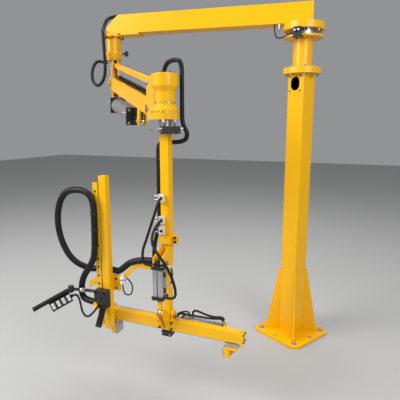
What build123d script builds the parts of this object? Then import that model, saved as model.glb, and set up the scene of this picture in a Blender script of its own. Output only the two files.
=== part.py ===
from build123d import *
import os
from math import atan2, cos, degrees, hypot, radians, sin, sqrt, tan

os.makedirs("parts", exist_ok=True)

# fits and gaps, mm
seat_gap = 0.3
run_gap = 5.0
pin_gap = 0.3

# base and column
base_yaw = -29.4
plate_side = 420.0
plate_thick = 20.0
plate_cut = 40.0
anchor_inset = 50.0
anchor_hole = 22.0
level_hole = 14.0
level_inset = 28.0
column_side = 140.0
column_wall = 6.3
column_round = 18.0
column_height = 1930.0
cable_hole_width = 76.0
cable_hole_height = 92.0
cable_hole_drop = 66.0
gusset_thick = 12.0
gusset_reach = 197.0
gusset_top_reach = 104.0
gusset_height = 500.0
flange_dia = 260.0
flange_thick = 20.0
riser_dia = 133.0
riser_height = 197.0
brake_disc_dia = 270.0
brake_disc_thick = 12.0
slew_bearing_dia = 190.0
slew_bearing_height = 38.0

# jib
jib_yaw = 187.7
jib_reach = 1430.0
jib_tail = 60.0
jib_nose = 28.0
jib_width = 120.0
jib_height = 132.0
nose_cut_length = 97.0
nose_cut_height = 84.0
jib_pad_length = 145.0
jib_pad_thick = 12.0
jib_flange_dia = 280.0
jib_flange_thick = 45.0
jib_brake_length = 62.0
jib_brake_width = 54.0
jib_brake_height = 68.0
jib_brake_offset = 137.0
jib_brake_turn = 76.0
hub_flange_dia = 170.0
hub_flange_thick = 20.0
hub_dia = 108.0
hub_height = 155.0
hub_ring_dia = 128.0
hub_ring_height = 10.0
hub_ring_rise = 33.0
hub_foot_dia = 104.0

# second arm, rest pose
arm_yaw = -44.45
arm_reach = 1223.0
head_offset = 145.0
beam_drop = 234.0
tie_rise = 138.0
beam_below_hub = 183.0
yoke_ring_dia = 108.0
yoke_ring_height = 8.0
yoke_spigot_height = 3.0
yoke_spigot_dia = 80.0
yoke_plate_inner = 15.0
yoke_plate_thick = 9.5
yoke_half_length = 34.0
yoke_tail_front = 18.0
yoke_tail_top = 64.0
yoke_tail_bottom = 219.0
yoke_back_thick = 9.0
tie_pin_dia = 16.0
beam_pin_dia = 24.0
boss_dia = 54.0
boss_thick = 8.0
beam_width = 76.0
beam_height = 96.0
beam_side_wall = 8.0
beam_fork_depth = 76.0
tie_depth = 34.0
tie_width = 20.0
lug_thick = 10.0
lug_width = 58.0
lug_inner = 16.0
lug_reach = 760.0
lug_drop = 300.0
lug_tip = 24.0
cylinder_drop = 159.0
lift_cap_side = 115.0
lift_cap_thick = 26.0
lift_barrel_dia = 110.0
lift_bore = 100.0
lift_barrel_start = 88.0
lift_barrel_end = 574.0
lift_rod_dia = 25.0
lift_rod_inside = 180.0
lift_eye_dia = 38.0
lift_eye_width = 20.0

# head
head_top_above = 171.0
head_bottom_below = 61.0
head_dia = 142.0
head_waist_dia = 110.0
head_rim_top = 62.0
head_rim_bottom = 52.0
head_taper = 26.0
cheek_inner = 44.0
cheek_thick = 10.0
cheek_length = 168.0
cheek_cut = 30.0
head_bearing_dia = 74.0
head_bearing_height = 20.0
calliper_start = 48.0
calliper_end = 98.0
calliper_width = 96.0
calliper_height = 38.0
stud_dia = 12.0
stud_offset = 56.0
stud_spread = 60.0

# mast
mast_disc_dia = 160.0
mast_disc_thick = 12.0
mast_hub_dia = 66.0
mast_hub_height = 28.0
mast_side = 50.0
mast_wall = 4.5
mast_base_above = 419.0
mast_bar_side = 40.0
mast_bar_overlap = 120.0
collar_side = 70.0
collar_height = 46.0
collar_ear = 34.0
collar_ear_thick = 14.0
collar_hole = 9.0
bracket_thick = 8.0
bracket_front = 126.0
bracket_height = 96.0
bracket_nose = 40.0
trunnion_front = 100.0
trunnion_above = 348.0
trunnion_dia = 16.0
valve_side = 30.0
valve_depth = 26.0
valve_height = 44.0
valve_above = (79.0, 136.0, 259.0)
brace_thick = 10.0
brace_height = 34.0
brace_gap = 5.0
brace_flat_end = 172.0
brace_low_start = 280.0
brace_low_above = 182.0
brace_plate_height = 96.0
brace_plate_width = 46.0
post_offset = 362.0
post_width = 46.0
post_depth = 40.0
post_ahead = 48.0
post_bottom_below = 132.0
post_height = 916.0
rail_thick = 12.0
rail_width = 16.0
rail_end = 18.0

# tilt cylinder
tilt_cap_side = 68.0
tilt_cap_thick = 18.0
tilt_barrel_side = 60.0
tilt_bore = 50.0
tilt_barrel_start = 48.0
tilt_barrel_end = 222.0
tilt_rod_dia = 20.0
tilt_rod_inside = 165.0
tilt_eye_dia = 30.0
tilt_eye_width = 16.0

# tool, measured from the tilt axis
tilt_height = 532.0
tool_beam_front = 30.0
tool_beam_width = 46.0
tool_beam_height = 60.0
tool_beam_top = 32.0
tool_beam_left = 455.0
tool_beam_right = 445.0
end_plate_thick = 12.0
end_plate_below = 16.0
saddle_plate = 8.0
saddle_length = 100.0
ear_inner = 26.0
ear_thick = 10.0
ear_dia = 44.0
tilt_pin_dia = 16.0
tilt_pin_head = 28.0
nose_ear_inner = 13.0
nose_ear_thick = 9.0
nose_ear_rise = 43.0
nose_ear_dia = 36.0
guide_width = 20.0
guide_height = 12.0
clamp_front = 46.0
clamp_below = 52.0
clamp_side = 36.0
clamp_bore = 26.0
clamp_start = 62.0
clamp_end = 330.0
clamp_rod_dia = 14.0
clamp_rod_inside = 40.0
clamp_lug_thick = 12.0
carriage_length = 70.0
carriage_width = 48.0
carriage_height = 26.0
jaw_plate = 10.0
jaw_wall = 26.0
jaw_width = 70.0
jaw_drop = 60.0
pad_thick = 12.0
right_pad_face = 345.0
left_pad_face = 330.0
pad_height = 52.0
pinion_length = 60.0
pinion_width = 52.0
pinion_height = 30.0

# handle
slide_length = 50.0
slide_thick = 22.0
slide_width = 38.0
slide_above = (110.0, 270.0)
bar_width = 32.0
bar_thick = 6.0
bar_bottom_above = 20.0
bar_length = 730.0
bar_tail = 135.0
bar_hole = 9.0
bar_hole_step = 50.0
clamp_block_width = 80.0
clamp_block_over = 58.0
clamp_block_depth = 46.0
clamp_block_height = 104.0
arm_dia = 18.0
grip_dia = 26.0
box_length = 125.0
box_width = 46.0
box_depth = 52.0
paddle_length = 44.0
paddle_width = 18.0
paddle_height = 12.0
paddle_count = 4
knuckle_dia = 34.0
arm_out = 40.0
grip_start = (-566.0, -152.0, 114.0)
grip_end = (-703.0, -320.0, 29.0)
second_grip_dia = 36.0
second_grip_neck = 18.0
second_grip_end = (-378.0, -160.0, -90.0)

# hoses
hose_dia = 25.0
big_hose_dia = 38.0
hose_bend = 34.0
big_hose_bend = 95.0
jib_hose_start = 260.0
jib_hose_stop = 75.0
jib_hose_side = 30.0
elbow_hose_lead = 26.0
elbow_hose_points = [
    (-20.0, -26.0, 322.0),
    (52.0, 0.0, 300.0),
    (62.0, 45.0, 215.0),
    (36.0, 106.0, 185.0),
    (34.0, 99.0, 60.0),
    (34.0, 90.0, -60.0),
    (48.0, 80.0, -150.0),
    (110.0, 66.0, -215.0),
    (172.0, 50.0, -170.0),
    (178.0, 38.0, -80.0),
    (140.0, 26.0, -10.0),
    (85.0, 8.0, -22.0),
    (60.0, 0.0, -22.0),
]
conduit_start = 110.0
conduit_gap = 103.1
conduit_side = 8.0
arch_hose_points = [
    (-232.0, 28.0, 104.0),
    (-108.0, 28.0, 96.0),
    (-98.0, 28.0, 240.0),
    (28.0, 66.0, 250.0),
    (30.0, 78.3, 200.0),
    (30.0, 78.3, -35.0),
]
swivel_hose_points = [
    (30.0, 78.3, -85.0),
    (62.0, 104.0, -132.0),
    (37.0, 93.7, -182.0),
    (-21.6, 36.3, -182.0),
]
mast_hose_dia = 24.0
mast_hose_drop = 61.0
mast_hose_lean = 18.0
mast_hose_gap = 73.0
mast_hose_ahead = 12.0
mast_hose_start = 9.4
mast_hose_off = 4.0
mast_hose_bend = 16.0
mast_hose_tail = [
    (-52.0, -26.0, 152.0),
    (-62.0, -43.0, 82.0),
]
brace_hose_points = [
    (-332.0, -23.0),
    (-412.0, -23.0),
]
loop_hose_lead = 45.0
loop_hose_points = [
    (-505.0, -27.0, 200.0),
    (-612.0, -72.0, 255.0),
    (-670.0, -98.0, 392.0),
    (-680.0, -104.0, 545.0),
    (-622.0, -108.0, 684.0),
    (-498.0, -114.0, 713.0),
]
bar_hose_heights = (676.0, 590.0, 345.0)
bar_hose_points = [
    (-442.0, -116.0, 262.0),
    (-520.0, -104.0, 170.0),
    (-534.0, -100.0, 52.0),
    (-470.0, -116.0, 40.0),
]
bar_hose_end_above = 20.0
bend_share = 0.45
box_share = 0.03
bracket_shares = (0.6, 0.48)
corner_share = 0.46

# heights and angles that follow from the sizes above
anchor_span = plate_side - 2 * anchor_inset
column_top = plate_thick + column_height
riser_base = column_top + flange_thick
riser_top = riser_base + flange_thick + riser_height
disc_top = riser_top + brake_disc_thick
jib_flange_base = disc_top + slew_bearing_height
jib_base = jib_flange_base + jib_flange_thick
jib_top = jib_base + jib_height
hub_base = jib_base - hub_flange_thick - hub_height
yoke_top = hub_base - yoke_spigot_height - yoke_ring_height
beam_z = hub_base - beam_below_hub
beam_run = arm_reach - head_offset
beam_length = hypot(beam_run, beam_drop)
beam_tilt = degrees(atan2(beam_drop, beam_run))
head_z = beam_z - beam_drop
head_top = head_z + head_top_above
head_base = head_z - head_bottom_below
lift_tilt = degrees(atan2(lug_drop - cylinder_drop, lug_reach))
lift_length = hypot(lug_reach, lug_drop - cylinder_drop)
lug_x = lug_reach * cos(radians(beam_tilt)) + lug_drop * sin(radians(beam_tilt))
lug_z = lug_reach * sin(radians(beam_tilt)) - lug_drop * cos(radians(beam_tilt))
mast_hub_top = head_base - head_bearing_height
mast_disc_top = mast_hub_top - mast_hub_height
mast_top = mast_disc_top - mast_disc_thick
mast_base = tilt_height + mast_base_above
tool_beam_back = tool_beam_width - tool_beam_front
tool_mid = (tool_beam_back - tool_beam_front) / 2
tool_beam_base = -tool_beam_top - tool_beam_height
guide_base = tool_beam_base - guide_height
carriage_top = tool_beam_base - run_gap
carriage_base = carriage_top - carriage_height
post_left = -post_offset - post_width / 2
post_right = -post_offset + post_width / 2
rail_left = post_left - rail_thick
slide_right = post_left - run_gap
slide_left = slide_right - slide_thick
post_y = -post_ahead - post_depth / 2
slide_front = post_y - slide_width / 2

# places: each group of pieces is built about its own axis and set down once
elbow_x = jib_reach * cos(radians(jib_yaw))
elbow_y = jib_reach * sin(radians(jib_yaw))
head_x = elbow_x + arm_reach * cos(radians(arm_yaw))
head_y = elbow_y + arm_reach * sin(radians(arm_yaw))
at_base = Location((0, 0, 0), (0, 0, base_yaw))
at_jib = Location((0, 0, 0), (0, 0, jib_yaw))
at_elbow = Location((elbow_x, elbow_y, 0), (0, 0, arm_yaw))
at_beam = at_elbow * Location((0, 0, beam_z), (0, beam_tilt, 0))
at_tie = at_elbow * Location((0, 0, beam_z + tie_rise), (0, beam_tilt, 0))
at_lift = at_elbow * Location((0, 0, beam_z - cylinder_drop), (0, lift_tilt, 0))
at_head = Location((head_x, head_y, 0), (0, 0, arm_yaw))
at_mast = Location((head_x, head_y, 0))
at_tool = Location((head_x, head_y, tilt_height))
at_tilt = at_tool * Location((0, -trunnion_front, trunnion_above))


def block(x0, x1, y0, y1, z0, z1):
    middle = ((x0 + x1) / 2, (y0 + y1) / 2, (z0 + z1) / 2)
    return Pos(*middle) * Box(x1 - x0, y1 - y0, z1 - z0)


def disc(dia, z0, z1, x=0, y=0):
    return Pos(x, y, (z0 + z1) / 2) * Cylinder(dia / 2, z1 - z0)


def across(dia, y0, y1, x=0, z=0):
    return Pos(x, (y0 + y1) / 2, z) * Rot(90, 0, 0) * Cylinder(dia / 2, y1 - y0)


def along(dia, x0, x1, y=0, z=0):
    return Pos((x0 + x1) / 2, y, z) * Rot(0, 90, 0) * Cylinder(dia / 2, x1 - x0)


def slab_xz(points, y0, y1):
    face = make_face(Polyline(*[(x, y1, z) for x, z in points], close=True))
    return extrude(face, amount=y1 - y0, dir=(0, -1, 0))


def slab_yz(points, x0, x1):
    face = make_face(Polyline(*[(x0, y, z) for y, z in points], close=True))
    return extrude(face, amount=x1 - x0, dir=(1, 0, 0))


def turned(points):
    face = make_face(Polyline(*[(r, 0, z) for r, z in points], close=True))
    return revolve(face, Axis.Z)


def hose(points, dia, bend):
    pts = [Vector(*p) for p in points]
    edges = []
    start = pts[0]
    for before, corner, after in zip(pts, pts[1:], pts[2:]):
        into = (corner - before).normalized()
        out = (after - corner).normalized()
        half_turn = radians(into.get_angle(out)) / 2
        room = min((corner - before).length, (after - corner).length) * bend_share
        set_back = min(bend * tan(half_turn), room)
        radius = set_back / tan(half_turn)
        a = corner - into * set_back
        b = corner + out * set_back
        inward = (out - into).normalized()
        mid = corner + inward * (radius / cos(half_turn) - radius)
        edges.append(Line(start, a))
        edges.append(ThreePointArc(a, mid, b))
        start = b
    edges.append(Line(start, pts[-1]))
    path = Wire(edges)
    first = (pts[1] - pts[0]).normalized()
    ring = Plane(origin=pts[0], z_dir=first) * Circle(dia / 2)
    return sweep(ring, path=path)


def save(name, place, *shapes):
    solids = [s for shape in shapes for s in (place * shape).solids()]
    whole = Compound(children=solids) if len(solids) > 1 else solids[0]
    whole.label = name
    export_step(whole, os.path.join("parts", name + ".step"))


# base body: plate, column, riser, slewing seat
plate = extrude(chamfer(Rectangle(plate_side, plate_side).vertices(), plate_cut), amount=plate_thick)
for x in (-anchor_span / 2, anchor_span / 2):
    for y in (-anchor_span / 2, anchor_span / 2):
        plate -= disc(anchor_hole, 0, plate_thick, x, y)
level_at = plate_side / 2 - level_inset
for x, y in ((level_at, 0), (-level_at, 0), (0, level_at), (0, -level_at)):
    plate -= disc(level_hole, 0, plate_thick, x, y)
save("base_plate", at_base, plate)

outer = RectangleRounded(column_side, column_side, column_round)
inner_side = column_side - 2 * column_wall
inner = RectangleRounded(inner_side, inner_side, column_round - column_wall)
column = Pos(0, 0, plate_thick) * extrude(outer - inner, amount=column_height)
cable_face = Plane(origin=(0, 0, column_top - cable_hole_drop), x_dir=(1, 0, 0), z_dir=(0, -1, 0))
cable_cut = cable_face * RectangleRounded(cable_hole_width, cable_hole_height, cable_hole_width * corner_share)
column -= extrude(cable_cut, amount=column_side)
column += disc(flange_dia, column_top, riser_base)
save("column", at_base, column)

corner_reach = column_side / sqrt(2) - column_round * (sqrt(2) - 1) + seat_gap
gusset_outline = [
    (corner_reach, plate_thick),
    (gusset_reach, plate_thick),
    (gusset_top_reach, plate_thick + gusset_height),
    (corner_reach, plate_thick + gusset_height),
]
gusset = slab_xz(gusset_outline, -gusset_thick / 2, gusset_thick / 2)
save("base_gussets", at_base, *[Rot(0, 0, turn) * gusset for turn in (45, 135, 225, 315)])
riser = disc(flange_dia, riser_base, riser_base + flange_thick)
riser += disc(riser_dia, riser_base + flange_thick, riser_top)
save("riser", at_base, riser)
save("slew_brake_disc", at_base, disc(brake_disc_dia, riser_top, disc_top))
save("slew_bearing", at_base, disc(slew_bearing_dia, disc_top, jib_flange_base - seat_gap))

# jib body
jib_end = jib_reach + jib_nose
jib_outline = [
    (-jib_tail, jib_base),
    (jib_end, jib_base),
    (jib_end, jib_top - nose_cut_height),
    (jib_end - nose_cut_length, jib_top),
    (-jib_tail, jib_top),
]
jib = slab_xz(jib_outline, -jib_width / 2, jib_width / 2)
jib += disc(jib_flange_dia, jib_flange_base, jib_base)
pad_end = jib_reach - hub_flange_dia / 2 - seat_gap
jib += block(pad_end - jib_pad_length, pad_end, -jib_width / 2, jib_width / 2, jib_base - jib_pad_thick, jib_base)
save("jib", at_jib, jib)
hub_ring_base = hub_base + hub_ring_rise
hub_outline = [
    (0, hub_base),
    (hub_foot_dia / 2, hub_base),
    (hub_ring_dia / 2, hub_ring_base),
    (hub_ring_dia / 2, hub_ring_base + hub_ring_height),
    (hub_dia / 2, hub_ring_base + hub_ring_height),
    (hub_dia / 2, jib_base - hub_flange_thick),
    (hub_flange_dia / 2, jib_base - hub_flange_thick),
    (hub_flange_dia / 2, jib_base),
    (0, jib_base),
]
save("elbow_hub", at_jib * Pos(jib_reach, 0, 0), turned(hub_outline))
brake_x0 = jib_brake_offset - jib_brake_length / 2
brake_x1 = jib_brake_offset + jib_brake_length / 2
brake = block(brake_x0, brake_x1, -jib_brake_width / 2, jib_brake_width / 2,
              jib_flange_base - jib_brake_height, jib_flange_base)
brake -= disc(brake_disc_dia + 2 * run_gap, riser_top - run_gap, disc_top + run_gap)
brake -= disc(slew_bearing_dia + 2 * run_gap, disc_top, jib_flange_base)
save("jib_brake", at_jib * Rot(0, 0, jib_brake_turn), brake)

# yoke body: ring, two plates with a back, three pins
yoke_outer = yoke_plate_inner + yoke_plate_thick
yoke_waist = beam_z - yoke_tail_top
yoke_foot = beam_z - yoke_tail_bottom
yoke_outline = [
    (-yoke_half_length, yoke_foot),
    (yoke_tail_front, yoke_foot),
    (yoke_tail_front, yoke_waist),
    (yoke_half_length, yoke_waist),
    (yoke_half_length, yoke_top),
    (-yoke_half_length, yoke_top),
]
yoke = disc(yoke_ring_dia, yoke_top, yoke_top + yoke_ring_height)
yoke += disc(yoke_spigot_dia, yoke_top + yoke_ring_height, hub_base - seat_gap)
yoke += slab_xz(yoke_outline, -yoke_outer, -yoke_plate_inner)
yoke += slab_xz(yoke_outline, yoke_plate_inner, yoke_outer)
yoke += block(-yoke_half_length, -yoke_half_length + yoke_back_thick, -yoke_outer, yoke_outer, yoke_foot, yoke_top)
boss_start = beam_width / 2 + seat_gap
yoke += across(tie_pin_dia, -yoke_outer, yoke_outer, 0, beam_z + tie_rise)
yoke += across(beam_pin_dia, -boss_start, boss_start, 0, beam_z)
yoke += across(boss_dia, boss_start, boss_start + boss_thick, 0, beam_z)
yoke += across(boss_dia, -boss_start - boss_thick, -boss_start, 0, beam_z)
yoke += across(tie_pin_dia, -yoke_outer, yoke_outer, 0, beam_z - cylinder_drop)
save("yoke", at_elbow, yoke)

# lift beam body
beam = block(0, beam_length, -beam_width / 2, beam_width / 2, -beam_height / 2, beam_height / 2)
for x in (0, beam_length):
    beam += across(beam_height, -beam_width / 2, beam_width / 2, x, 0)
fork_half = beam_width / 2 - beam_side_wall
beam -= block(-beam_height, beam_fork_depth, -fork_half, fork_half, -beam_height, beam_height)
for x in (0, beam_length):
    beam -= across(beam_pin_dia + 2 * pin_gap, -beam_width, beam_width, x, 0)
save("lift_beam", at_beam, beam)
lugs = []
for side in (-1, 1):
    y0, y1 = sorted((side * lug_inner, side * (lug_inner + lug_thick)))
    h0, h1 = sorted((side * (lug_inner + lug_thick), side * (lug_inner + lug_thick + boss_thick)))
    lug = block(lug_x - lug_width / 2, lug_x + lug_width / 2, y0, y1, lug_z, -beam_height / 2)
    lug += across(lug_width, y0, y1, lug_x, lug_z)
    lug += across(lug_tip, h0, h1, lug_x, lug_z)
    lugs.append(lug)
save("beam_lugs", at_beam, *lugs)
# tie rod body
tie = block(0, beam_length, -tie_width / 2, tie_width / 2, -tie_depth / 2, tie_depth / 2)
for x in (0, beam_length):
    tie += across(tie_depth, -tie_width / 2, tie_width / 2, x, 0)
for x in (0, beam_length):
    tie -= across(tie_pin_dia + 2 * pin_gap, -tie_width, tie_width, x, 0)
save("tie_rod", at_tie, tie)

# lift cylinder: barrel body and rod body
half_cap = lift_cap_side / 2
rear_cap = block(lift_barrel_start - lift_cap_thick, lift_barrel_start, -half_cap, half_cap, -half_cap, half_cap)
rear_cap += block(0, lift_barrel_start - lift_cap_thick, -lift_eye_width / 2, lift_eye_width / 2,
                  -lift_eye_dia / 2, lift_eye_dia / 2)
rear_cap += across(lift_eye_dia, -lift_eye_width / 2, lift_eye_width / 2)
rear_cap -= across(tie_pin_dia + 2 * pin_gap, -lift_eye_width, lift_eye_width)
front_cap = block(lift_barrel_end, lift_barrel_end + lift_cap_thick, -half_cap, half_cap, -half_cap, half_cap)
front_cap -= along(lift_rod_dia + 2 * pin_gap, lift_barrel_end, lift_barrel_end + lift_cap_thick)
save("lift_caps", at_lift, rear_cap, front_cap)
lift_barrel = along(lift_barrel_dia, lift_barrel_start, lift_barrel_end)
lift_barrel -= along(lift_bore, lift_barrel_start, lift_barrel_end)
save("lift_barrel", at_lift, lift_barrel)
lift_rod = along(lift_rod_dia, lift_barrel_end - lift_rod_inside, lift_length)
lift_rod += across(lift_eye_dia, -lift_eye_width / 2, lift_eye_width / 2, lift_length)
save("lift_rod", at_lift, lift_rod)

# head body
drum_outline = [
    (0, head_base),
    (head_dia / 2, head_base),
    (head_dia / 2, head_base + head_rim_bottom),
    (head_waist_dia / 2, head_base + head_rim_bottom + head_taper),
    (head_waist_dia / 2, head_top - head_rim_top - head_taper),
    (head_dia / 2, head_top - head_rim_top),
    (head_dia / 2, head_top),
    (0, head_top),
]
head = turned(drum_outline)
cheek_outer = cheek_inner + cheek_thick
cheek_outline = [
    (-cheek_length, head_base),
    (-head_waist_dia / 2 + cheek_inner - cheek_thick, head_base),
    (-head_waist_dia / 2 + cheek_inner - cheek_thick, head_top),
    (-cheek_length + cheek_cut, head_top),
    (-cheek_length, head_top - cheek_cut),
]
head += slab_xz(cheek_outline, cheek_inner, cheek_outer)
head += slab_xz(cheek_outline, -cheek_outer, -cheek_inner)
head += across(beam_pin_dia, -cheek_outer, cheek_outer, -head_offset, head_z)
head += across(tie_pin_dia, -cheek_outer, cheek_outer, -head_offset, head_z + tie_rise)
save("head", at_head, head)
save("head_bearing", at_head, disc(head_bearing_dia, mast_hub_top, head_base))
calliper_mid = mast_disc_top - mast_disc_thick / 2
calliper_top = calliper_mid + calliper_height / 2
calliper = block(calliper_start, calliper_end, -calliper_width / 2, calliper_width / 2,
                 calliper_mid - calliper_height / 2, calliper_top)
calliper -= disc(mast_disc_dia + 2 * run_gap, mast_top - run_gap, mast_disc_top + run_gap)
for y in (-stud_spread / 2, stud_spread / 2):
    calliper += disc(stud_dia, calliper_top, head_base, stud_offset, y)
save("head_brake", at_head, calliper)

# mast body
mast_hub = disc(mast_disc_dia, mast_top, mast_disc_top)
mast_hub += disc(mast_hub_dia, mast_disc_top, mast_hub_top - seat_gap)
save("mast_disc", at_mast, mast_hub)
half_mast = mast_side / 2
half_bore = half_mast - mast_wall
mast_tube = block(-half_mast, half_mast, -half_mast, half_mast, mast_base, mast_top)
mast_tube -= block(-half_bore, half_bore, -half_bore, half_bore, mast_base, mast_top)
half_bar = mast_bar_side / 2
mast_bar = block(-half_bar, half_bar, -half_bar, half_bar, tilt_height, mast_base + mast_bar_overlap)
mast_bar += Pos(0, 0, tilt_height) * along(mast_bar_side, -half_bar, half_bar)
mast_bar -= Pos(0, 0, tilt_height) * along(tilt_pin_dia + 2 * pin_gap, -mast_side, mast_side)
half_collar = collar_side / 2
collar_top = mast_base + collar_height
collar = block(-half_collar, half_collar, -half_collar, half_collar, mast_base, collar_top)
collar += block(half_collar, half_collar + collar_ear, -collar_ear_thick / 2, collar_ear_thick / 2,
                mast_base, collar_top)
collar -= block(-half_mast, half_mast, -half_mast, half_mast, mast_base, collar_top)
ear_mid = half_collar + collar_ear / 2
for z in (mast_base + collar_height / 4, collar_top - collar_height / 4):
    collar -= across(collar_hole, -collar_ear_thick, collar_ear_thick, ear_mid, z)
save("mast_tube", at_mast, mast_tube + collar)
trunnion_z = tilt_height + trunnion_above
bracket_top = trunnion_z + bracket_height * bracket_shares[0]
bracket_base = trunnion_z - bracket_height * bracket_shares[1]
bracket_outline = [
    (half_bar, bracket_base),
    (-half_bar - collar_ear_thick, bracket_base),
    (-trunnion_front + bracket_nose, trunnion_z - collar_ear_thick),
    (-bracket_front, trunnion_z - collar_ear_thick),
    (-bracket_front, trunnion_z + collar_ear_thick),
    (-half_bar - collar_ear_thick, bracket_top),
    (half_bar, bracket_top),
]
bracket_out = half_bar + bracket_thick
bracket = slab_yz(bracket_outline, half_bar, bracket_out)
bracket += slab_yz(bracket_outline, -bracket_out, -half_bar)
bracket += Pos(0, -trunnion_front, trunnion_z) * along(trunnion_dia, -bracket_out, bracket_out)
save("mast_bar", at_mast, mast_bar + bracket)
valves = []
for above in valve_above:
    z = mast_base + above
    valves.append(block(-valve_side, 0, -half_mast - valve_depth, -half_mast, z - valve_height / 2, z + valve_height / 2))
save("mast_valves", at_mast, *valves)
half_brace = brace_height / 2
brace_high = bracket_base - brace_gap - half_brace
brace_low = tilt_height + brace_low_above
brace_outline = [
    (-half_bar, brace_high - half_brace),
    (-half_bar, brace_high + half_brace),
    (-brace_flat_end, brace_high + half_brace),
    (-brace_low_start, brace_low + half_brace),
    (post_left, brace_low + half_brace),
    (post_left, brace_low + half_brace - brace_plate_height),
    (post_right + brace_plate_width, brace_low + half_brace - brace_plate_height),
    (post_right + brace_plate_width, brace_low - half_brace),
    (-brace_low_start, brace_low - half_brace),
    (-brace_flat_end, brace_high - half_brace),
]
brace = slab_xz(brace_outline, -post_ahead, brace_thick - post_ahead)
brace += block(-half_bar - brace_thick, -half_bar, -post_ahead, half_bar, brace_high - half_brace, brace_high + half_brace)
save("post_brace", at_mast, brace)
post_base = tilt_height - post_bottom_below
post_top = post_base + post_height
save("post", at_mast, block(post_left, post_right, -post_ahead - post_depth, -post_ahead, post_base, post_top))
save("post_rail", at_mast, block(rail_left, post_left, post_y - rail_width / 2, post_y + rail_width / 2,
                                 post_base + rail_end, post_top - rail_end))

# tilt cylinder: barrel body and rod body, hung from the trunnion
half_tilt_cap = tilt_cap_side / 2
half_tilt = tilt_barrel_side / 2
top_cap = block(-half_tilt_cap, half_tilt_cap, -half_tilt_cap, half_tilt_cap,
                -tilt_barrel_start, -tilt_barrel_start + tilt_cap_thick)
top_cap += block(-tilt_eye_width / 2, tilt_eye_width / 2, -tilt_eye_dia / 2, tilt_eye_dia / 2,
                 -tilt_barrel_start + tilt_cap_thick, 0)
top_cap += along(tilt_eye_dia, -tilt_eye_width / 2, tilt_eye_width / 2)
top_cap -= along(trunnion_dia + 2 * pin_gap, -tilt_eye_width, tilt_eye_width)
low_cap = block(-half_tilt_cap, half_tilt_cap, -half_tilt_cap, half_tilt_cap,
                -tilt_barrel_end, -tilt_barrel_end + tilt_cap_thick)
low_cap -= disc(tilt_rod_dia + 2 * pin_gap, -tilt_barrel_end, -tilt_barrel_end + tilt_cap_thick)
save("tilt_caps", at_tilt, top_cap, low_cap)
tilt_barrel = block(-half_tilt, half_tilt, -half_tilt, half_tilt,
                    -tilt_barrel_end + tilt_cap_thick, -tilt_barrel_start)
tilt_barrel -= disc(tilt_bore, -tilt_barrel_end + tilt_cap_thick, -tilt_barrel_start)
save("tilt_barrel", at_tilt, tilt_barrel)
tilt_length = trunnion_above - nose_ear_rise
tilt_rod = disc(tilt_rod_dia, -tilt_length, -tilt_barrel_end + tilt_rod_inside)
tilt_rod += Pos(0, 0, -tilt_length) * along(tilt_eye_dia, -tilt_eye_width / 2, tilt_eye_width / 2)
save("tilt_rod", at_tilt, tilt_rod)

# tool body
tool_beam = block(-tool_beam_left, tool_beam_right, -tool_beam_front, tool_beam_back, tool_beam_base, -tool_beam_top)
tool_beam += block(tool_beam_right, tool_beam_right + end_plate_thick, -tool_beam_front, tool_beam_back,
                   tool_beam_base - end_plate_below, -tool_beam_top)
tool_beam += block(-tool_beam_left - end_plate_thick, -tool_beam_left, -tool_beam_front, tool_beam_back,
                   tool_beam_base - end_plate_below, -tool_beam_top)
saddle_top = -tool_beam_top + saddle_plate
saddle_face = -tool_beam_front - saddle_plate
half_saddle = saddle_length / 2
saddle = block(-half_saddle, half_saddle, saddle_face, tool_beam_back, -tool_beam_top, saddle_top)
saddle += block(-half_saddle, half_saddle, saddle_face, -tool_beam_front, tool_beam_base, saddle_top)
nose_back = -half_bar - run_gap
nose_outline = [
    (saddle_face, tool_beam_base),
    (saddle_face, saddle_top),
    (nose_back, saddle_top),
    (nose_back, 0),
    (-trunnion_front + nose_ear_dia / 4, nose_ear_rise + nose_ear_dia / 2),
    (-trunnion_front - nose_ear_dia / 2, nose_ear_rise),
]
for side in (-1, 1):
    x0, x1 = sorted((side * ear_inner, side * (ear_inner + ear_thick)))
    saddle += block(x0, x1, -ear_dia / 2, ear_dia / 2 - ear_thick, saddle_top, 0)
    saddle += along(ear_dia, x0, x1)
    h0, h1 = sorted((side * (ear_inner + ear_thick), side * (ear_inner + ear_thick + saddle_plate)))
    saddle += along(tilt_pin_head, h0, h1)
    n0, n1 = sorted((side * nose_ear_inner, side * (nose_ear_inner + nose_ear_thick)))
    saddle += slab_yz(nose_outline, n0, n1)
    saddle += along(nose_ear_dia, n0, n1, -trunnion_front, nose_ear_rise)
saddle += along(tilt_pin_dia, -ear_inner, ear_inner)
save("saddle", at_tool, saddle)
save("jaw_guide", at_tool, block(-tool_beam_left, tool_beam_right, tool_mid - guide_width / 2,
                                 tool_mid + guide_width / 2, guide_base, tool_beam_base))
save("pinion_box", at_tool, block(-pinion_length / 2, pinion_length / 2, tool_mid - pinion_width / 2,
                                  tool_mid + pinion_width / 2, guide_base - pinion_height, guide_base))
half_clamp = clamp_side / 2
clamp_barrel = block(clamp_start, clamp_end, clamp_front - half_clamp, clamp_front + half_clamp,
                     -clamp_below - half_clamp, -clamp_below + half_clamp)
clamp_barrel -= along(clamp_bore, clamp_start, clamp_end, clamp_front, -clamp_below)
save("clamp_barrel", at_tool, clamp_barrel)
tool_beam += block(clamp_end, clamp_end + clamp_lug_thick, tool_beam_back, clamp_front + half_clamp,
                   -clamp_below - half_clamp, -clamp_below + half_clamp)
save("tool_beam", at_tool, tool_beam)


# jaws: the same carriage, bracket and pad on each side
def carriage(x0, x1):
    body = block(x0, x1, tool_mid - carriage_width / 2, tool_mid + carriage_width / 2, carriage_base, carriage_top)
    half_slot = guide_width / 2 + seat_gap
    body -= block(x0, x1, tool_mid - half_slot, tool_mid + half_slot, guide_base - seat_gap, carriage_top)
    return body


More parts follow.
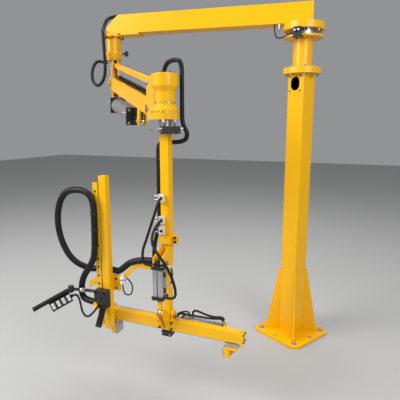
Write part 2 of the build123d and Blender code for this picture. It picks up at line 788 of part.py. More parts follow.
def jaw(face, out):
    inner = face + out * pad_thick
    outer = inner + out * carriage_length
    wall = inner + out * jaw_wall
    low = carriage_base - jaw_drop
    y0 = tool_mid - jaw_width / 2
    y1 = tool_mid + jaw_width / 2
    top = block(min(inner, outer), max(inner, outer), y0, y1, carriage_base - jaw_plate, carriage_base)
    top += block(min(inner, wall), max(inner, wall), y0, y1, low, carriage_base)
    rib = [(wall, carriage_base - jaw_plate), (outer, carriage_base - jaw_plate), (wall, low)]
    top += slab_xz(rib, tool_mid - jaw_plate / 2, tool_mid + jaw_plate / 2)
    pad = block(min(face, inner), max(face, inner), y0, y1, low, low + pad_height)
    return top, pad, carriage(min(inner, outer), max(inner, outer))


right_bracket, right_pad, right_carriage = jaw(right_pad_face, 1)
save("right_jaw", at_tool, right_bracket)
save("right_pad", at_tool, right_pad)
save("right_carriage", at_tool, right_carriage)
left_bracket, left_pad, left_carriage = jaw(-left_pad_face, -1)
lug_right = -left_pad_face - pad_thick - carriage_length + clamp_lug_thick
carriage_back = tool_mid + carriage_width / 2
clamp_lug = block(lug_right - clamp_lug_thick, lug_right, carriage_back, clamp_front + half_clamp,
                  carriage_base, carriage_top)
clamp_lug += block(lug_right - clamp_lug_thick, lug_right, tool_beam_back + run_gap, clamp_front + half_clamp,
                   carriage_base, -clamp_below + half_clamp)
save("left_jaw", at_tool, left_bracket + clamp_lug)
save("left_pad", at_tool, left_pad)
save("left_carriage", at_tool, left_carriage)
save("clamp_rod", at_tool, along(clamp_rod_dia, lug_right, clamp_start + clamp_rod_inside, clamp_front, -clamp_below))

# handle body, carried on the post rail
slides = []
half_slot = rail_width / 2 + seat_gap
for above in slide_above:
    slide = block(slide_left, slide_right, slide_front, slide_front + slide_width, above, above + slide_length)
    slide -= block(rail_left - seat_gap, slide_right, post_y - half_slot, post_y + half_slot, above, above + slide_length)
    slides.append(slide)
save("handle_slides", at_tool, *slides)
bar_right = slide_right
bar_left = bar_right - bar_width
bar_front = slide_front - bar_thick
bar_top = bar_bottom_above + bar_length
bar = block(bar_left, bar_right, bar_front, slide_front, bar_bottom_above - bar_tail, bar_top)
bar_mid = (bar_left + bar_right) / 2
for n in range(1, int((bar_length + bar_tail) / bar_hole_step)):
    bar -= across(bar_hole, bar_front, slide_front, bar_mid, bar_top - n * bar_hole_step)
save("handle_bar", at_tool, bar)
grip_block_right = bar_right + clamp_block_over
grip_block_left = grip_block_right - clamp_block_width
grip_block_front = bar_front - clamp_block_depth
grip_block_top = bar_bottom_above + clamp_block_height
save("handle_block", at_tool, block(grip_block_left, grip_block_right, grip_block_front, bar_front,
                                    bar_bottom_above, grip_block_top))
arm_start = (grip_block_left, bar_front - clamp_block_depth / 2, grip_block_top - arm_dia)
arm_route = [arm_start, (arm_start[0] - arm_out, arm_start[1], arm_start[2]), grip_start]
handle_arm = hose(arm_route, arm_dia, hose_bend) + Pos(*grip_start) * Sphere(knuckle_dia / 2)
save("handle_arm", at_tool, handle_arm)
grip_way = (Vector(*grip_end) - Vector(*grip_start)).normalized()
grip_from = Vector(*grip_start) + grip_way * (knuckle_dia / 2 + seat_gap)
grip_length = (Vector(*grip_end) - grip_from).length
grip_up = (Vector(0, 0, 1) - grip_way * grip_way.Z).normalized()
at_grip = at_tool * Location(Plane(origin=grip_from, x_dir=grip_way, z_dir=grip_up))
box_start = (grip_length - box_length) * box_share
box_top = -grip_dia / 2
save("control_box", at_grip, block(box_start, box_start + box_length, -box_width / 2, box_width / 2,
                                   box_top - box_depth, box_top))
paddles = []
paddle_step = box_length / paddle_count
for n in range(paddle_count):
    x = box_start + (n + 1 / 2) * paddle_step
    paddles.append(block(x - paddle_width / 2, x + paddle_width / 2, box_width / 2, box_width / 2 + paddle_height,
                         box_top - box_depth / 2 - paddle_length / 2, box_top - box_depth / 2 + paddle_length / 2))
save("control_paddles", at_grip, *paddles)
second_start = (grip_block_right - clamp_block_width / 2, bar_front - clamp_block_depth / 2, bar_bottom_above)
second_mid = (second_start[0], second_start[1], second_start[2] - second_grip_neck)
second_grip = hose([second_start, second_mid, second_grip_end], second_grip_dia, hose_bend)
save("hand_grips", Location(), at_grip * along(grip_dia, 0, grip_length), at_tool * second_grip)

# hoses: those that stay on one body, and those that bend with a joint
jib_hose_z = jib_top + hose_dia / 2 + seat_gap
jib_hose_end = jib_reach - jib_hose_stop
save("jib_hose", at_jib, hose([(jib_hose_start, -jib_hose_side, jib_hose_z), (jib_hose_end, -jib_hose_side, jib_hose_z)],
                              hose_dia, hose_bend))
elbow_route = [(x, -jib_hose_side, jib_hose_z) for x in (jib_hose_end, jib_hose_end + elbow_hose_lead)]
elbow_route += [(jib_reach + x, y, hub_base + z) for x, y, z in elbow_hose_points]
save("elbow_hose", at_jib, hose(elbow_route, hose_dia, hose_bend))
conduit_z = beam_height / 2 + hose_dia / 2 + seat_gap
save("beam_conduit", at_beam, along(hose_dia, conduit_start, beam_length - conduit_gap, conduit_side, conduit_z))
arch_route = [(x, y, head_z + z) for x, y, z in arch_hose_points]
save("arch_hose", at_head, hose(arch_route, hose_dia, hose_bend))
swivel_route = [arch_route[-1]] + [(x, y, head_z + z) for x, y, z in swivel_hose_points]
save("swivel_hose", at_head, hose(swivel_route, hose_dia, hose_bend))
lift_off = big_hose_dia / 2 + seat_gap
brace_hose_y = brace_thick / 2 - post_ahead
brace_hose_high = brace_high + half_brace + lift_off - tilt_height
brace_hose_low = brace_low + half_brace + lift_off - tilt_height
brace_route = [
    (-bracket_out - lift_off, brace_hose_y, brace_hose_high),
    (-brace_flat_end - lift_off, brace_hose_y, brace_hose_high),
    (-brace_low_start - lift_off, brace_hose_y, brace_hose_low),
]
brace_route += [(x, y, brace_hose_low) for x, y in brace_hose_points]
save("brace_hose", at_tool, hose(brace_route, big_hose_dia, hose_bend))
mast_hose_out = half_mast + mast_hose_dia / 2 + mast_hose_off
mast_hose_high = mast_top - mast_hose_drop
mast_hose_low = brace_hose_high + lift_off + tilt_height
mast_route = [
    (mast_hose_start, mast_hose_out, mast_hose_high),
    (-mast_hose_out, mast_hose_out, mast_hose_high),
    (-mast_hose_out, -mast_hose_ahead, mast_hose_high - mast_hose_lean),
    (-mast_hose_out, -mast_hose_ahead, collar_top + mast_hose_gap),
]
mast_route += [(x, y, tilt_height + brace_hose_high + z) for x, y, z in mast_hose_tail]
mast_route += [(mast_hose_tail[-1][0], mast_hose_tail[-1][1], mast_hose_low)]
save("mast_hose", at_mast, hose(mast_route, mast_hose_dia, mast_hose_bend))
bar_hose_y = bar_front - lift_off
bar_hose_run = [(bar_mid, bar_hose_y, z) for z in bar_hose_heights]
loop_from = brace_route[-1]
loop_route = [loop_from, (loop_from[0] - loop_hose_lead, loop_from[1], loop_from[2])]
loop_route += loop_hose_points + bar_hose_run[:-1]
save("loop_hose", at_tool, hose(loop_route, big_hose_dia, big_hose_bend))
bar_hose_end = (grip_block_left - seat_gap, bar_front - clamp_block_depth / 2, bar_bottom_above + bar_hose_end_above)
bar_route = bar_hose_run[1:] + bar_hose_points + [bar_hose_end]
save("bar_hose", at_tool, hose(bar_route, big_hose_dia, hose_bend))
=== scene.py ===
from math import cos, pi, radians, sin

import bpy
from mathutils import Matrix, Vector


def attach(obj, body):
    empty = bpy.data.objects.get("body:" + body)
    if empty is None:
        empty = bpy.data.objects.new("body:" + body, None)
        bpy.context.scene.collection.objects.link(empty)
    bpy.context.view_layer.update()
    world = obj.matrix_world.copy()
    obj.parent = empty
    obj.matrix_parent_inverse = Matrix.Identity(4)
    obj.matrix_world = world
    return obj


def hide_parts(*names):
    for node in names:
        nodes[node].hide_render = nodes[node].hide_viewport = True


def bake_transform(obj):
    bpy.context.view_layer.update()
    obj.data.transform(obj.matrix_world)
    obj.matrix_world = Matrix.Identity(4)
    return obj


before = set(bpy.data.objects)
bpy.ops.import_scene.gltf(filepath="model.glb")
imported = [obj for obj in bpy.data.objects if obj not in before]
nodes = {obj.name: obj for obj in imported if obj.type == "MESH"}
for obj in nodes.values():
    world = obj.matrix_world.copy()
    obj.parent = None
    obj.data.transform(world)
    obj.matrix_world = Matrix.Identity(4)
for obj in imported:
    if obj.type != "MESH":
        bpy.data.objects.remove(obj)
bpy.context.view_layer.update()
scene = bpy.context.scene

# The viewpoint: a hand-held camera at eye height, in front of the arm and to its right,
# tipped a little down so that the column foot and the tool are both in view.
eye = bpy.data.cameras.new("eye")
eye.sensor_width = 36.0
eye.lens = 36.45
viewer = bpy.data.objects.new("eye", eye)
viewer.location = (0.451, -3.012, 1.600)
viewer.rotation_euler = (radians(79.52), 0.0, radians(22.1))
scene.collection.objects.link(viewer)
scene.camera = viewer
scene.view_settings.view_transform = "Standard"

# The stage: a pale sealed floor, big soft lamps on both sides and overhead,
# and an even pale surround.
bpy.ops.object.select_all(action="DESELECT")
bpy.ops.mesh.primitive_plane_add(size=30.0, location=(0.0, 0.0, -0.0005))
ground = bpy.context.object
ground.name = "ground"
sealed = bpy.data.materials.new("sealed_floor")
sealed.use_nodes = True
sealed_shader = sealed.node_tree.nodes["Principled BSDF"]
sealed_shader.inputs["Base Color"].default_value = (0.44, 0.44, 0.435, 1.0)
sealed_shader.inputs["Roughness"].default_value = 0.55
ground.data.materials.append(sealed)
for name, place, aim, size, power in (
    ("lamp_left", (-4.2, -4.0, 4.2), (-0.6, -0.6, 1.2), 3.2, 330.0),
    ("lamp_right", (3.2, -3.4, 3.4), (-0.4, -0.5, 1.2), 2.6, 135.0),
    ("lamp_top", (-0.6, 0.6, 5.4), (-0.6, -0.4, 1.0), 4.0, 175.0),
):
    lamp = bpy.data.lights.new(name, "AREA")
    lamp.size = size
    lamp.energy = power
    holder = bpy.data.objects.new(name, lamp)
    holder.location = place
    holder.rotation_euler = (Vector(aim) - Vector(place)).to_track_quat("-Z", "Y").to_euler()
    scene.collection.objects.link(holder)
surround = bpy.data.worlds.new("surround")
surround.use_nodes = True
surround.node_tree.nodes["Background"].inputs["Color"].default_value = (0.80, 0.81, 0.83, 1.0)
surround.node_tree.nodes["Background"].inputs["Strength"].default_value = 0.36
scene.world = surround

# Foot and column: a flame-cut plate, a square tube with round corners and four corner fins,
# all welded and then sprayed in thick yellow enamel with a slight orange-peel skin.
foot_turn = radians(29.4)
base_at = Matrix.Rotation(-foot_turn, 4, "Z")


def two_tone(name, dark, light, grain, rough, skin, metal=0.0, coat=0.0, stretch=(1.0, 1.0, 1.0),
             edge=0.0, gloss=0.5):
    finish = bpy.data.materials.new(name)
    finish.use_nodes = True
    tree = finish.node_tree
    link = tree.links.new
    shader = tree.nodes["Principled BSDF"]
    shader.inputs["Metallic"].default_value = metal
    shader.inputs["Coat Weight"].default_value = coat
    shader.inputs["Specular IOR Level"].default_value = gloss
    place = tree.nodes.new("ShaderNodeTexCoord")
    turn = tree.nodes.new("ShaderNodeMapping")
    turn.inputs["Scale"].default_value = stretch
    link(place.outputs["Object"], turn.inputs["Vector"])
    cloud = tree.nodes.new("ShaderNodeTexNoise")
    cloud.inputs["Scale"].default_value = grain
    cloud.inputs["Detail"].default_value = 6.0
    link(turn.outputs["Vector"], cloud.inputs["Vector"])
    tones = tree.nodes.new("ShaderNodeValToRGB")
    tones.color_ramp.elements[0].position = 0.32
    tones.color_ramp.elements[0].color = (*dark, 1.0)
    tones.color_ramp.elements[1].position = 0.68
    tones.color_ramp.elements[1].color = (*light, 1.0)
    link(cloud.outputs["Fac"], tones.inputs["Fac"])
    link(tones.outputs["Color"], shader.inputs["Base Color"])
    spread = tree.nodes.new("ShaderNodeMapRange")
    spread.inputs["To Min"].default_value = rough[0]
    spread.inputs["To Max"].default_value = rough[1]
    link(cloud.outputs["Fac"], spread.inputs["Value"])
    link(spread.outputs["Result"], shader.inputs["Roughness"])
    fine = tree.nodes.new("ShaderNodeTexNoise")
    fine.inputs["Scale"].default_value = skin[0]
    fine.inputs["Detail"].default_value = 3.0
    link(turn.outputs["Vector"], fine.inputs["Vector"])
    raised = tree.nodes.new("ShaderNodeBump")
    raised.inputs["Strength"].default_value = skin[1]
    raised.inputs["Distance"].default_value = 0.001
    link(fine.outputs["Fac"], raised.inputs["Height"])
    if edge:
        soft_edge = tree.nodes.new("ShaderNodeBevel")
        soft_edge.samples = 4
        soft_edge.inputs["Radius"].default_value = edge
        link(soft_edge.outputs["Normal"], raised.inputs["Normal"])
    link(raised.outputs["Normal"], shader.inputs["Normal"])
    return finish


def coat_with(finish, *names):
    for name in names:
        for holder in nodes[name].material_slots:
            holder.material = finish


yellow_enamel = two_tone("yellow_enamel", (0.86, 0.443, 0.0004), (0.92, 0.487, 0.0008), 2.5, (0.24, 0.36),
                         (260.0, 0.08), coat=0.12, edge=0.0015, gloss=0.32)
coat_with(yellow_enamel, "base_plate", "base_gussets")

# Column inside: the tube's bore is painted near black as painted shade, where a lit render would show yellow.
# The finish tells it from the sprayed outside by how far a point lies from the tube's middle.
inside_reach = 0.0645
column_enamel_painted_shade = yellow_enamel.copy()
column_enamel_painted_shade.name = "column_enamel_painted_shade"
tree = column_enamel_painted_shade.node_tree
link = tree.links.new
square = tree.nodes.new("ShaderNodeMapping")
square.inputs["Rotation"].default_value = (0.0, 0.0, foot_turn)
link(tree.nodes["Texture Coordinate"].outputs["Object"], square.inputs["Vector"])
sides = tree.nodes.new("ShaderNodeSeparateXYZ")
link(square.outputs["Vector"], sides.inputs["Vector"])
reach = []
for side in ("X", "Y"):
    size = tree.nodes.new("ShaderNodeMath")
    size.operation = "ABSOLUTE"
    link(sides.outputs[side], size.inputs[0])
    reach.append(size)
widest = tree.nodes.new("ShaderNodeMath")
widest.operation = "MAXIMUM"
link(reach[0].outputs["Value"], widest.inputs[0])
link(reach[1].outputs["Value"], widest.inputs[1])
within = tree.nodes.new("ShaderNodeMath")
within.operation = "LESS_THAN"
within.inputs[1].default_value = inside_reach
link(widest.outputs["Value"], within.inputs[0])
# Painted shade: near-black base colour inside the bore.
painted_bore_shade = tree.nodes.new("ShaderNodeMixRGB")
painted_bore_shade.inputs["Color2"].default_value = (0.012, 0.011, 0.010, 1.0)
link(within.outputs["Value"], painted_bore_shade.inputs["Fac"])
link(tree.nodes["Color Ramp"].outputs["Color"], painted_bore_shade.inputs["Color1"])
link(painted_bore_shade.outputs["Color"], tree.nodes["Principled BSDF"].inputs["Base Color"])
coat_with(column_enamel_painted_shade, "column")

# Floor anchors and levelling screws: zinc hex nuts on washers with the stud end showing, at
# the plate corners, and a small hex screw in the middle of each side.
zinc = two_tone("zinc", (0.46, 0.46, 0.44), (0.66, 0.66, 0.65), 60.0, (0.24, 0.42), (500.0, 0.08),
                metal=1.0)


def pick(*pieces):
    bpy.ops.object.select_all(action="DESELECT")
    for piece in pieces:
        piece.select_set(True)
    bpy.context.view_layer.objects.active = pieces[0]


def settle():
    bpy.ops.object.transform_apply(location=True, rotation=True, scale=True)
    return bpy.context.object


def unmark(piece, points=False):
    pick(piece)
    bpy.context.tool_settings.mesh_select_mode = (points, False, not points)
    for part in (piece.data.vertices, piece.data.edges, piece.data.polygons):
        part.foreach_set("select", [False] * len(part))


def on_top(face):
    return face.normal.z > 0.9


def press(piece, test, inset, depth=0.0):
    unmark(piece)
    for face in piece.data.polygons:
        face.select = test(face)
    bpy.ops.object.mode_set(mode="EDIT")
    bpy.ops.mesh.inset(thickness=inset, depth=depth)
    bpy.ops.object.mode_set(mode="OBJECT")


def soften(piece, width, rounds=2):
    pick(piece)
    edge = piece.modifiers.new("edge", "BEVEL")
    edge.width = width
    edge.segments = rounds
    edge.limit_method = "ANGLE"
    edge.angle_limit = radians(35)
    bpy.ops.object.modifier_apply(modifier="edge")
    bpy.ops.object.shade_smooth_by_angle(angle=radians(40))
    return piece


def drum(dia, z0, z1, sides=24):
    bpy.ops.object.select_all(action="DESELECT")
    middle = (0, 0, (z0 + z1) / 2)
    bpy.ops.mesh.primitive_cylinder_add(vertices=sides, radius=dia / 2, depth=z1 - z0, location=middle)
    return settle()


def brick(x0, x1, y0, y1, z0, z1):
    bpy.ops.object.select_all(action="DESELECT")
    bpy.ops.mesh.primitive_cube_add(size=1.0, location=((x0 + x1) / 2, (y0 + y1) / 2, (z0 + z1) / 2))
    bpy.context.object.scale = (x1 - x0, y1 - y0, z1 - z0)
    return settle()


def joined(*pieces):
    pick(*pieces)
    if len(pieces) > 1:
        bpy.ops.object.join()
    return pieces[0]


def set_out(name, model, places, finish, body):
    twins = []
    for place in places:
        twin = model.copy()
        twin.data = model.data.copy()
        scene.collection.objects.link(twin)
        twin.matrix_world = place
        twins.append(twin)
    bpy.data.objects.remove(model)
    pick(*twins)
    settle()
    group = joined(*twins)
    group.name = name
    group.data.name = name
    group.data.materials.clear()
    group.data.materials.append(finish)
    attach(group, body)
    return group


def hex_bolt(across, height, washer=0.0, stud=0.0):
    base = 0.0025 if washer else 0.0
    head = drum(across * 1.1547, base, base + height, 6)
    press(head, on_top, across * 0.09, across * 0.05)
    parts = [soften(head, across * 0.03)]
    if washer:
        parts.append(soften(drum(washer, 0.0, base), 0.0006))
    if stud:
        tip = drum(across * 0.62, base + height, base + height + stud, 16)
        parts.append(soften(tip, across * 0.06))
    return joined(*parts)


def socket_screw(dia, height):
    head = drum(dia, 0.0, height, 20)
    press(head, on_top, dia * 0.22)
    half_top = 0.5 * dia * dia * 0.785
    press(head, lambda face: on_top(face) and face.area < half_top, dia * 0.01, -height * 0.55)
    return soften(head, dia * 0.05)


def facing(where, point, way):
    return where @ Matrix.Translation(point) @ Vector(way).to_track_quat("Z", "Y").to_matrix().to_4x4()


def circle(radius, turns):
    return [(radius * cos(radians(turn)), radius * sin(radians(turn))) for turn in turns]


UP = (0.0, 0.0, 1.0)
DOWN = (0.0, 0.0, -1.0)
FRONT = (0.0, -1.0, 0.0)
plate_top = 0.020
anchor_out = 0.16
level_out = 0.182
set_out("anchor_nuts", hex_bolt(0.028, 0.012, washer=0.042, stud=0.004),
        [facing(base_at, (x, y, plate_top), UP) for x in (-anchor_out, anchor_out)
         for y in (-anchor_out, anchor_out)], zinc, "base")
corner_at = [base_at @ Matrix.Rotation(radians(turn), 4, "Z") for turn in (45, 135, 225, 315)]
set_out("fin_welds", soften(drum(0.006, 0.0195, 0.5185, 12), 0.001),
        [place @ Matrix.Translation((0.0918, y, 0.0)) for place in corner_at for y in (-0.0062, 0.0062)],
        yellow_enamel, "base")
set_out("level_screws", hex_bolt(0.017, 0.009),
        [facing(base_at, (x, y, plate_top), UP) for x, y in circle(level_out, (0, 180, 90, 270))],
        zinc, "base")

# Column flange: eight through bolts with their nuts underneath, and four dark button screws
# round the cable opening for its missing cover.
dark_zinc = two_tone("dark_zinc", (0.020, 0.020, 0.021), (0.055, 0.054, 0.052), 80.0, (0.34, 0.50),
                     (500.0, 0.10), metal=0.6)
ring = circle(0.110, range(0, 360, 45))
set_out("flange_bolts", hex_bolt(0.019, 0.010, washer=0.026),
        [facing(base_at, (x, y, 1.990), UP) for x, y in ring], zinc, "base")
set_out("flange_nuts", hex_bolt(0.019, 0.012, washer=0.026, stud=0.006),
        [facing(base_at, (x, y, 1.950), DOWN) for x, y in ring], zinc, "base")
set_out("cover_screws", socket_screw(0.010, 0.004),
        [facing(base_at, (x, -0.0700, 1.884 + z), FRONT) for x in (-0.044, 0.044) for z in (-0.050, 0.050)],
        dark_zinc, "base")

# Slewing seat: a bolted riser pipe with its brake disc sprayed over, and a ground steel bearing on
# top that the jib turns on.
bright_steel = two_tone("bright_steel", (0.42, 0.42, 0.43), (0.60, 0.60, 0.61), 30.0, (0.22, 0.38),
                        (420.0, 0.06), metal=1.0, edge=0.0008)
coat_with(yellow_enamel, "riser", "slew_brake_disc")
coat_with(bright_steel, "slew_bearing")

# Jib: a square welded box with a cut nose, on a thick round flange, and the dark brake block
# that grips the disc below it.
black_metal = two_tone("black_metal", (0.009, 0.009, 0.010), (0.020, 0.020, 0.022), 25.0, (0.36, 0.52),
                       (380.0, 0.12), edge=0.001, gloss=0.4)
jib_at = Matrix.Rotation(radians(187.7), 4, "Z")
coat_with(yellow_enamel, "jib", "elbow_hub")
coat_with(black_metal, "jib_brake")
rim = circle(0.120, range(65, 346, 40))
set_out("jib_flange_bolts", socket_screw(0.020, 0.012), [facing(jib_at, (x, y, 2.237), DOWN) for x, y in rim],
        zinc, "jib_arm")

# Brake block: the dark block under the jib, with two zinc push-in air fittings on its outer face and
# four cap screws up into it.
brake_at = jib_at @ Matrix.Rotation(radians(76.0), 4, "Z")


def air_fitting(dia):
    thread = soften(drum(dia * 1.15, 0.0, dia * 0.55, 6), dia * 0.05)
    stem = soften(drum(dia * 0.85, dia * 0.55, dia * 1.5), dia * 0.05)
    collar = drum(dia, dia * 1.5, dia * 1.95)
    press(collar, on_top, dia * 0.22, -dia * 0.1)
    return joined(thread, stem, soften(collar, dia * 0.06))


set_out("brake_fittings", air_fitting(0.013),
        [facing(brake_at, (0.168, y, 2.213), (1, 0, 0)) for y in (-0.012, 0.012)], zinc, "jib_arm")
set_out("brake_cap_screws", socket_screw(0.011, 0.006),
        [facing(brake_at, (x, y, 2.169), DOWN) for x in (0.122, 0.154) for y in (-0.018, 0.018)],
        zinc, "jib_arm")

# Jib hose: a smooth black rubber hose laid along the top of the box and held by four sprung saddles
# of dark zinc.
hose_rubber = two_tone("hose_rubber", (0.004, 0.004, 0.0045), (0.010, 0.010, 0.011), 40.0, (0.42, 0.58),
                       (700.0, 0.15), gloss=0.30)
coat_with(hose_rubber, "jib_hose")
jib_hose_y = -0.030
jib_hose_z = 2.4268


def hose_saddle(dia, width):
    bpy.ops.object.select_all(action="DESELECT")
    bpy.ops.mesh.primitive_cylinder_add(vertices=32, radius=dia / 2 + 0.0022, depth=width,
                                        end_fill_type="NOTHING", rotation=(0, pi / 2, 0))
    band = settle()
    wall = band.modifiers.new("wall", "SOLIDIFY")
    wall.thickness = 0.0016
    wall.offset = -1.0
    bpy.ops.object.modifier_apply(modifier="wall")
    lock = brick(-width * 0.7, width * 0.7, dia / 2 + 0.001, dia / 2 + 0.007, -0.004, 0.004)
    return joined(soften(band, 0.0005), soften(lock, 0.0012))


set_out("jib_hose_saddles", hose_saddle(0.0238, 0.012),
        [jib_at @ Matrix.Translation((x, jib_hose_y, jib_hose_z)) for x in (0.34, 0.68, 1.02, 1.32)],
        dark_zinc, "jib_arm")

# Elbow hub: a turned neck with a step ring, held to the box by eight cap screws, with a star knob
# on its side that locks the swing.
hub_at = jib_at @ Matrix.Translation((1.430, 0.0, 0.0))
set_out("hub_screws", socket_screw(0.014, 0.009),
        [facing(hub_at, (x, y, 2.262), DOWN) for x, y in circle(0.070, range(20, 380, 45))],
        dark_zinc, "jib_arm")
black_plastic = two_tone("black_plastic", (0.010, 0.010, 0.011), (0.022, 0.022, 0.023), 50.0, (0.40, 0.55),
                         (900.0, 0.20), edge=0.002)


def star_knob(dia, height, stem):
    shank = drum(dia * 0.35, -stem, 0.0, 16)
    grip = drum(dia, 0.0, height, 12)
    press(grip, lambda face: abs(face.normal.z) < 0.2 and face.index % 2 == 0, dia * 0.03, dia * 0.06)
    press(grip, on_top, dia * 0.12, -height * 0.08)
    return joined(soften(grip, dia * 0.04), shank)


set_out("swing_knob", star_knob(0.036, 0.024, 0.022),
        [facing(hub_at, (-0.082, -0.021, 2.145), (-0.968, -0.25, 0.0))], black_plastic, "jib_arm")

# Elbow hose: a ribbed black conduit that leaves the jib hose, drops off the nose and hangs in
# a teardrop loop before it turns in under the elbow.


def routed(name, points, where):
    line = bpy.data.curves.new(name, "CURVE")
    line.dimensions = "3D"
    line.resolution_u = 24
    run = line.splines.new("NURBS")
    run.points.add(len(points) - 1)
    for knot, point in zip(run.points, points):
        knot.co = (*(where @ Vector(point)), 1.0)
    run.order_u = 3
    run.use_endpoint_u = True
    carrier = bpy.data.objects.new(name, line)
    scene.collection.objects.link(carrier)
    bpy.context.view_layer.update()
    thread = bpy.data.meshes.new_from_object(carrier)
    path = [v.co.copy() for v in thread.vertices]
    bpy.data.objects.remove(carrier)
    bpy.data.meshes.remove(thread)
    return path


def ribbed_tube(name, path, dia, ribs, sides=20):
    pitch, depth = ribs
    reach = [0.0]
    for a, b in zip(path, path[1:]):
        reach.append(reach[-1] + (b - a).length)
    rings = max(4, int(reach[-1] / pitch) * 2)
    points = []
    at = 0
    for n in range(rings + 1):
        want = reach[-1] * n / rings
        while at < len(path) - 2 and reach[at + 1] < want:
            at += 1
        share = (want - reach[at]) / max(reach[at + 1] - reach[at], 1e-9)
        points.append(path[at].lerp(path[at + 1], share))
    side = None
    verts = []
    for n, point in enumerate(points):
        ahead = (points[min(n + 1, rings)] - points[max(n - 1, 0)]).normalized()
        if side is None:
            side = ahead.orthogonal().normalized()
        side = (side - ahead * side.dot(ahead)).normalized()
        over = ahead.cross(side)
        radius = dia / 2 - (depth if n % 2 else 0.0)
        for k in range(sides):
            turn = 2 * pi * k / sides
            verts.append(point + (side * cos(turn) + over * sin(turn)) * radius)
    faces = []
    for n in range(rings):
        for k in range(sides):
            j = (k + 1) % sides
            faces.append((n * sides + k, n * sides + j, (n + 1) * sides + j, (n + 1) * sides + k))
    faces.append(tuple(range(sides - 1, -1, -1)))
    faces.append(tuple(range(rings * sides, (rings + 1) * sides)))
    skin = bpy.data.meshes.new(name)
    skin.from_pydata(verts, [], faces)
    skin.update()
    tube = bpy.data.objects.new(name, skin)
    scene.collection.objects.link(tube)
    pick(tube)
    bpy.ops.object.shade_smooth_by_angle(angle=radians(75))
    tube.data.materials.append(hose_rubber)
    return tube


fine_ribs = (0.006, 0.0012)
elbow_path = routed("elbow_line", [
    (1.355, jib_hose_y, jib_hose_z), (1.381, jib_hose_y, jib_hose_z), (1.410, -0.026, 2.429),
    (1.482, 0.000, 2.407), (1.492, 0.045, 2.322), (1.466, 0.106, 2.292), (1.464, 0.099, 2.167),
    (1.464, 0.090, 2.047), (1.478, 0.080, 1.957), (1.540, 0.066, 1.892), (1.602, 0.050, 1.937),
    (1.608, 0.038, 2.027), (1.570, 0.026, 2.097), (1.515, 0.008, 2.085), (1.490, 0.000, 2.085)], jib_at)
elbow_loop = ribbed_tube("elbow_loop", elbow_path, 0.025, fine_ribs)
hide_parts("elbow_hose")
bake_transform(elbow_loop)

# Brake line: a thin rubber hose that hangs from the underside of the box to the brake block, beside
# two long zinc studs.
set_out("brake_studs", hex_bolt(0.014, 0.010, washer=0.020, stud=0.028),
        [facing(jib_at, (0.163, y, 2.282), DOWN) for y in (0.008, 0.046)], zinc, "jib_arm")
no_ribs = (0.008, 0.0)
brake_path = routed("brake_line", [
    (0.196, 0.040, 2.2815), (0.196, 0.042, 2.240), (0.180, 0.068, 2.186), (0.130, 0.128, 2.176),
    (0.090, 0.144, 2.196), (0.063, 0.139, 2.200)], jib_at)
brake_line = ribbed_tube("brake_line", brake_path, 0.009, no_ribs, sides=12)
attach(brake_line, "jib_arm")

# Yoke: a welded fork of two plates under the elbow bearing, with the pins of the beam,
# the tie rod and the lift cylinder through it, each kept by a bolted washer.
elbow_axis = (-1.4171, -0.1916, 0.0)
arm_turn = radians(-44.45)
tie_pin_z = 2.062
beam_pin_z = 1.924
lift_pin_z = 1.765
arm_at = Matrix.Translation(elbow_axis) @ Matrix.Rotation(arm_turn, 4, "Z")
coat_with(yellow_enamel, "yoke")
set_out("beam_pin_caps", hex_bolt(0.019, 0.009, washer=0.040),
        [facing(arm_at, (0.0, s * 0.0463, beam_pin_z), (0, s, 0)) for s in (-1, 1)], zinc, "yoke_body")
set_out("yoke_pin_caps", hex_bolt(0.013, 0.006, washer=0.026),
        [facing(arm_at, (0.0, s * 0.0245, z), (0, s, 0)) for s in (-1, 1) for z in (tie_pin_z, lift_pin_z)],
        zinc, "yoke_body")
set_out("yoke_ring_screws", socket_screw(0.010, 0.006),
        [facing(arm_at, (x, y, 2.096), DOWN) for x, y in circle(0.046, (60, 120, 240, 300))],
        dark_zinc, "yoke_body")

# Lift beam and tie rod: a deep box and a flat bar above it, pinned at both ends so that the
# head stays level, with two lugs hanging down for the cylinder rod and an oval plug in each side.
beam_at = arm_at @ Matrix.Translation((0.0, 0.0, beam_pin_z)) @ Matrix.Rotation(radians(12.247), 4, "Y")
coat_with(yellow_enamel, "lift_beam", "beam_lugs", "tie_rod")
plug = drum(0.034, 0.0, 0.003, 28)
plug.scale = (1.0, 1.45, 1.0)
pick(plug)
settle()
press(plug, on_top, 0.004, -0.0012)
set_out("beam_plugs", soften(plug, 0.0008),
        [facing(beam_at, (1.022, s * 0.038, -0.014), (0, s, 0)) for s in (-1, 1)],
        black_plastic, "beam_body")

# Beam lines: ribbed conduit along the top of the beam, held by four saddles, with two thin air
# lines laid beside it.
conduit_y = 0.008
conduit_z = 0.0608
line_z = 0.0522
sway = ((0.105, 0.0), (0.20, -0.004), (0.36, 0.004), (0.55, -0.003), (0.74, 0.004),
        (0.90, -0.003), (0.985, 0.0))
conduit_run = [(x, conduit_y, conduit_z) for x in (0.110, 0.400, 0.700, 1.000)]
conduit_path = routed("conduit_line", conduit_run, beam_at)
conduit = ribbed_tube("conduit", conduit_path, 0.025, fine_ribs)
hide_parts("beam_conduit")
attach(conduit, "beam_body")
for name, side in (("air_line_near", -0.016), ("air_line_far", 0.030)):
    line_path = routed(name, [(x, side + shift, line_z) for x, shift in sway], beam_at)
    line = ribbed_tube(name, line_path, 0.008, no_ribs, sides=12)
    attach(line, "beam_body")
set_out("conduit_saddles", hose_saddle(0.025, 0.010),
        [beam_at @ Matrix.Translation((x, conduit_y, conduit_z)) for x in (0.16, 0.43, 0.70, 0.97)],
        dark_zinc, "beam_body")

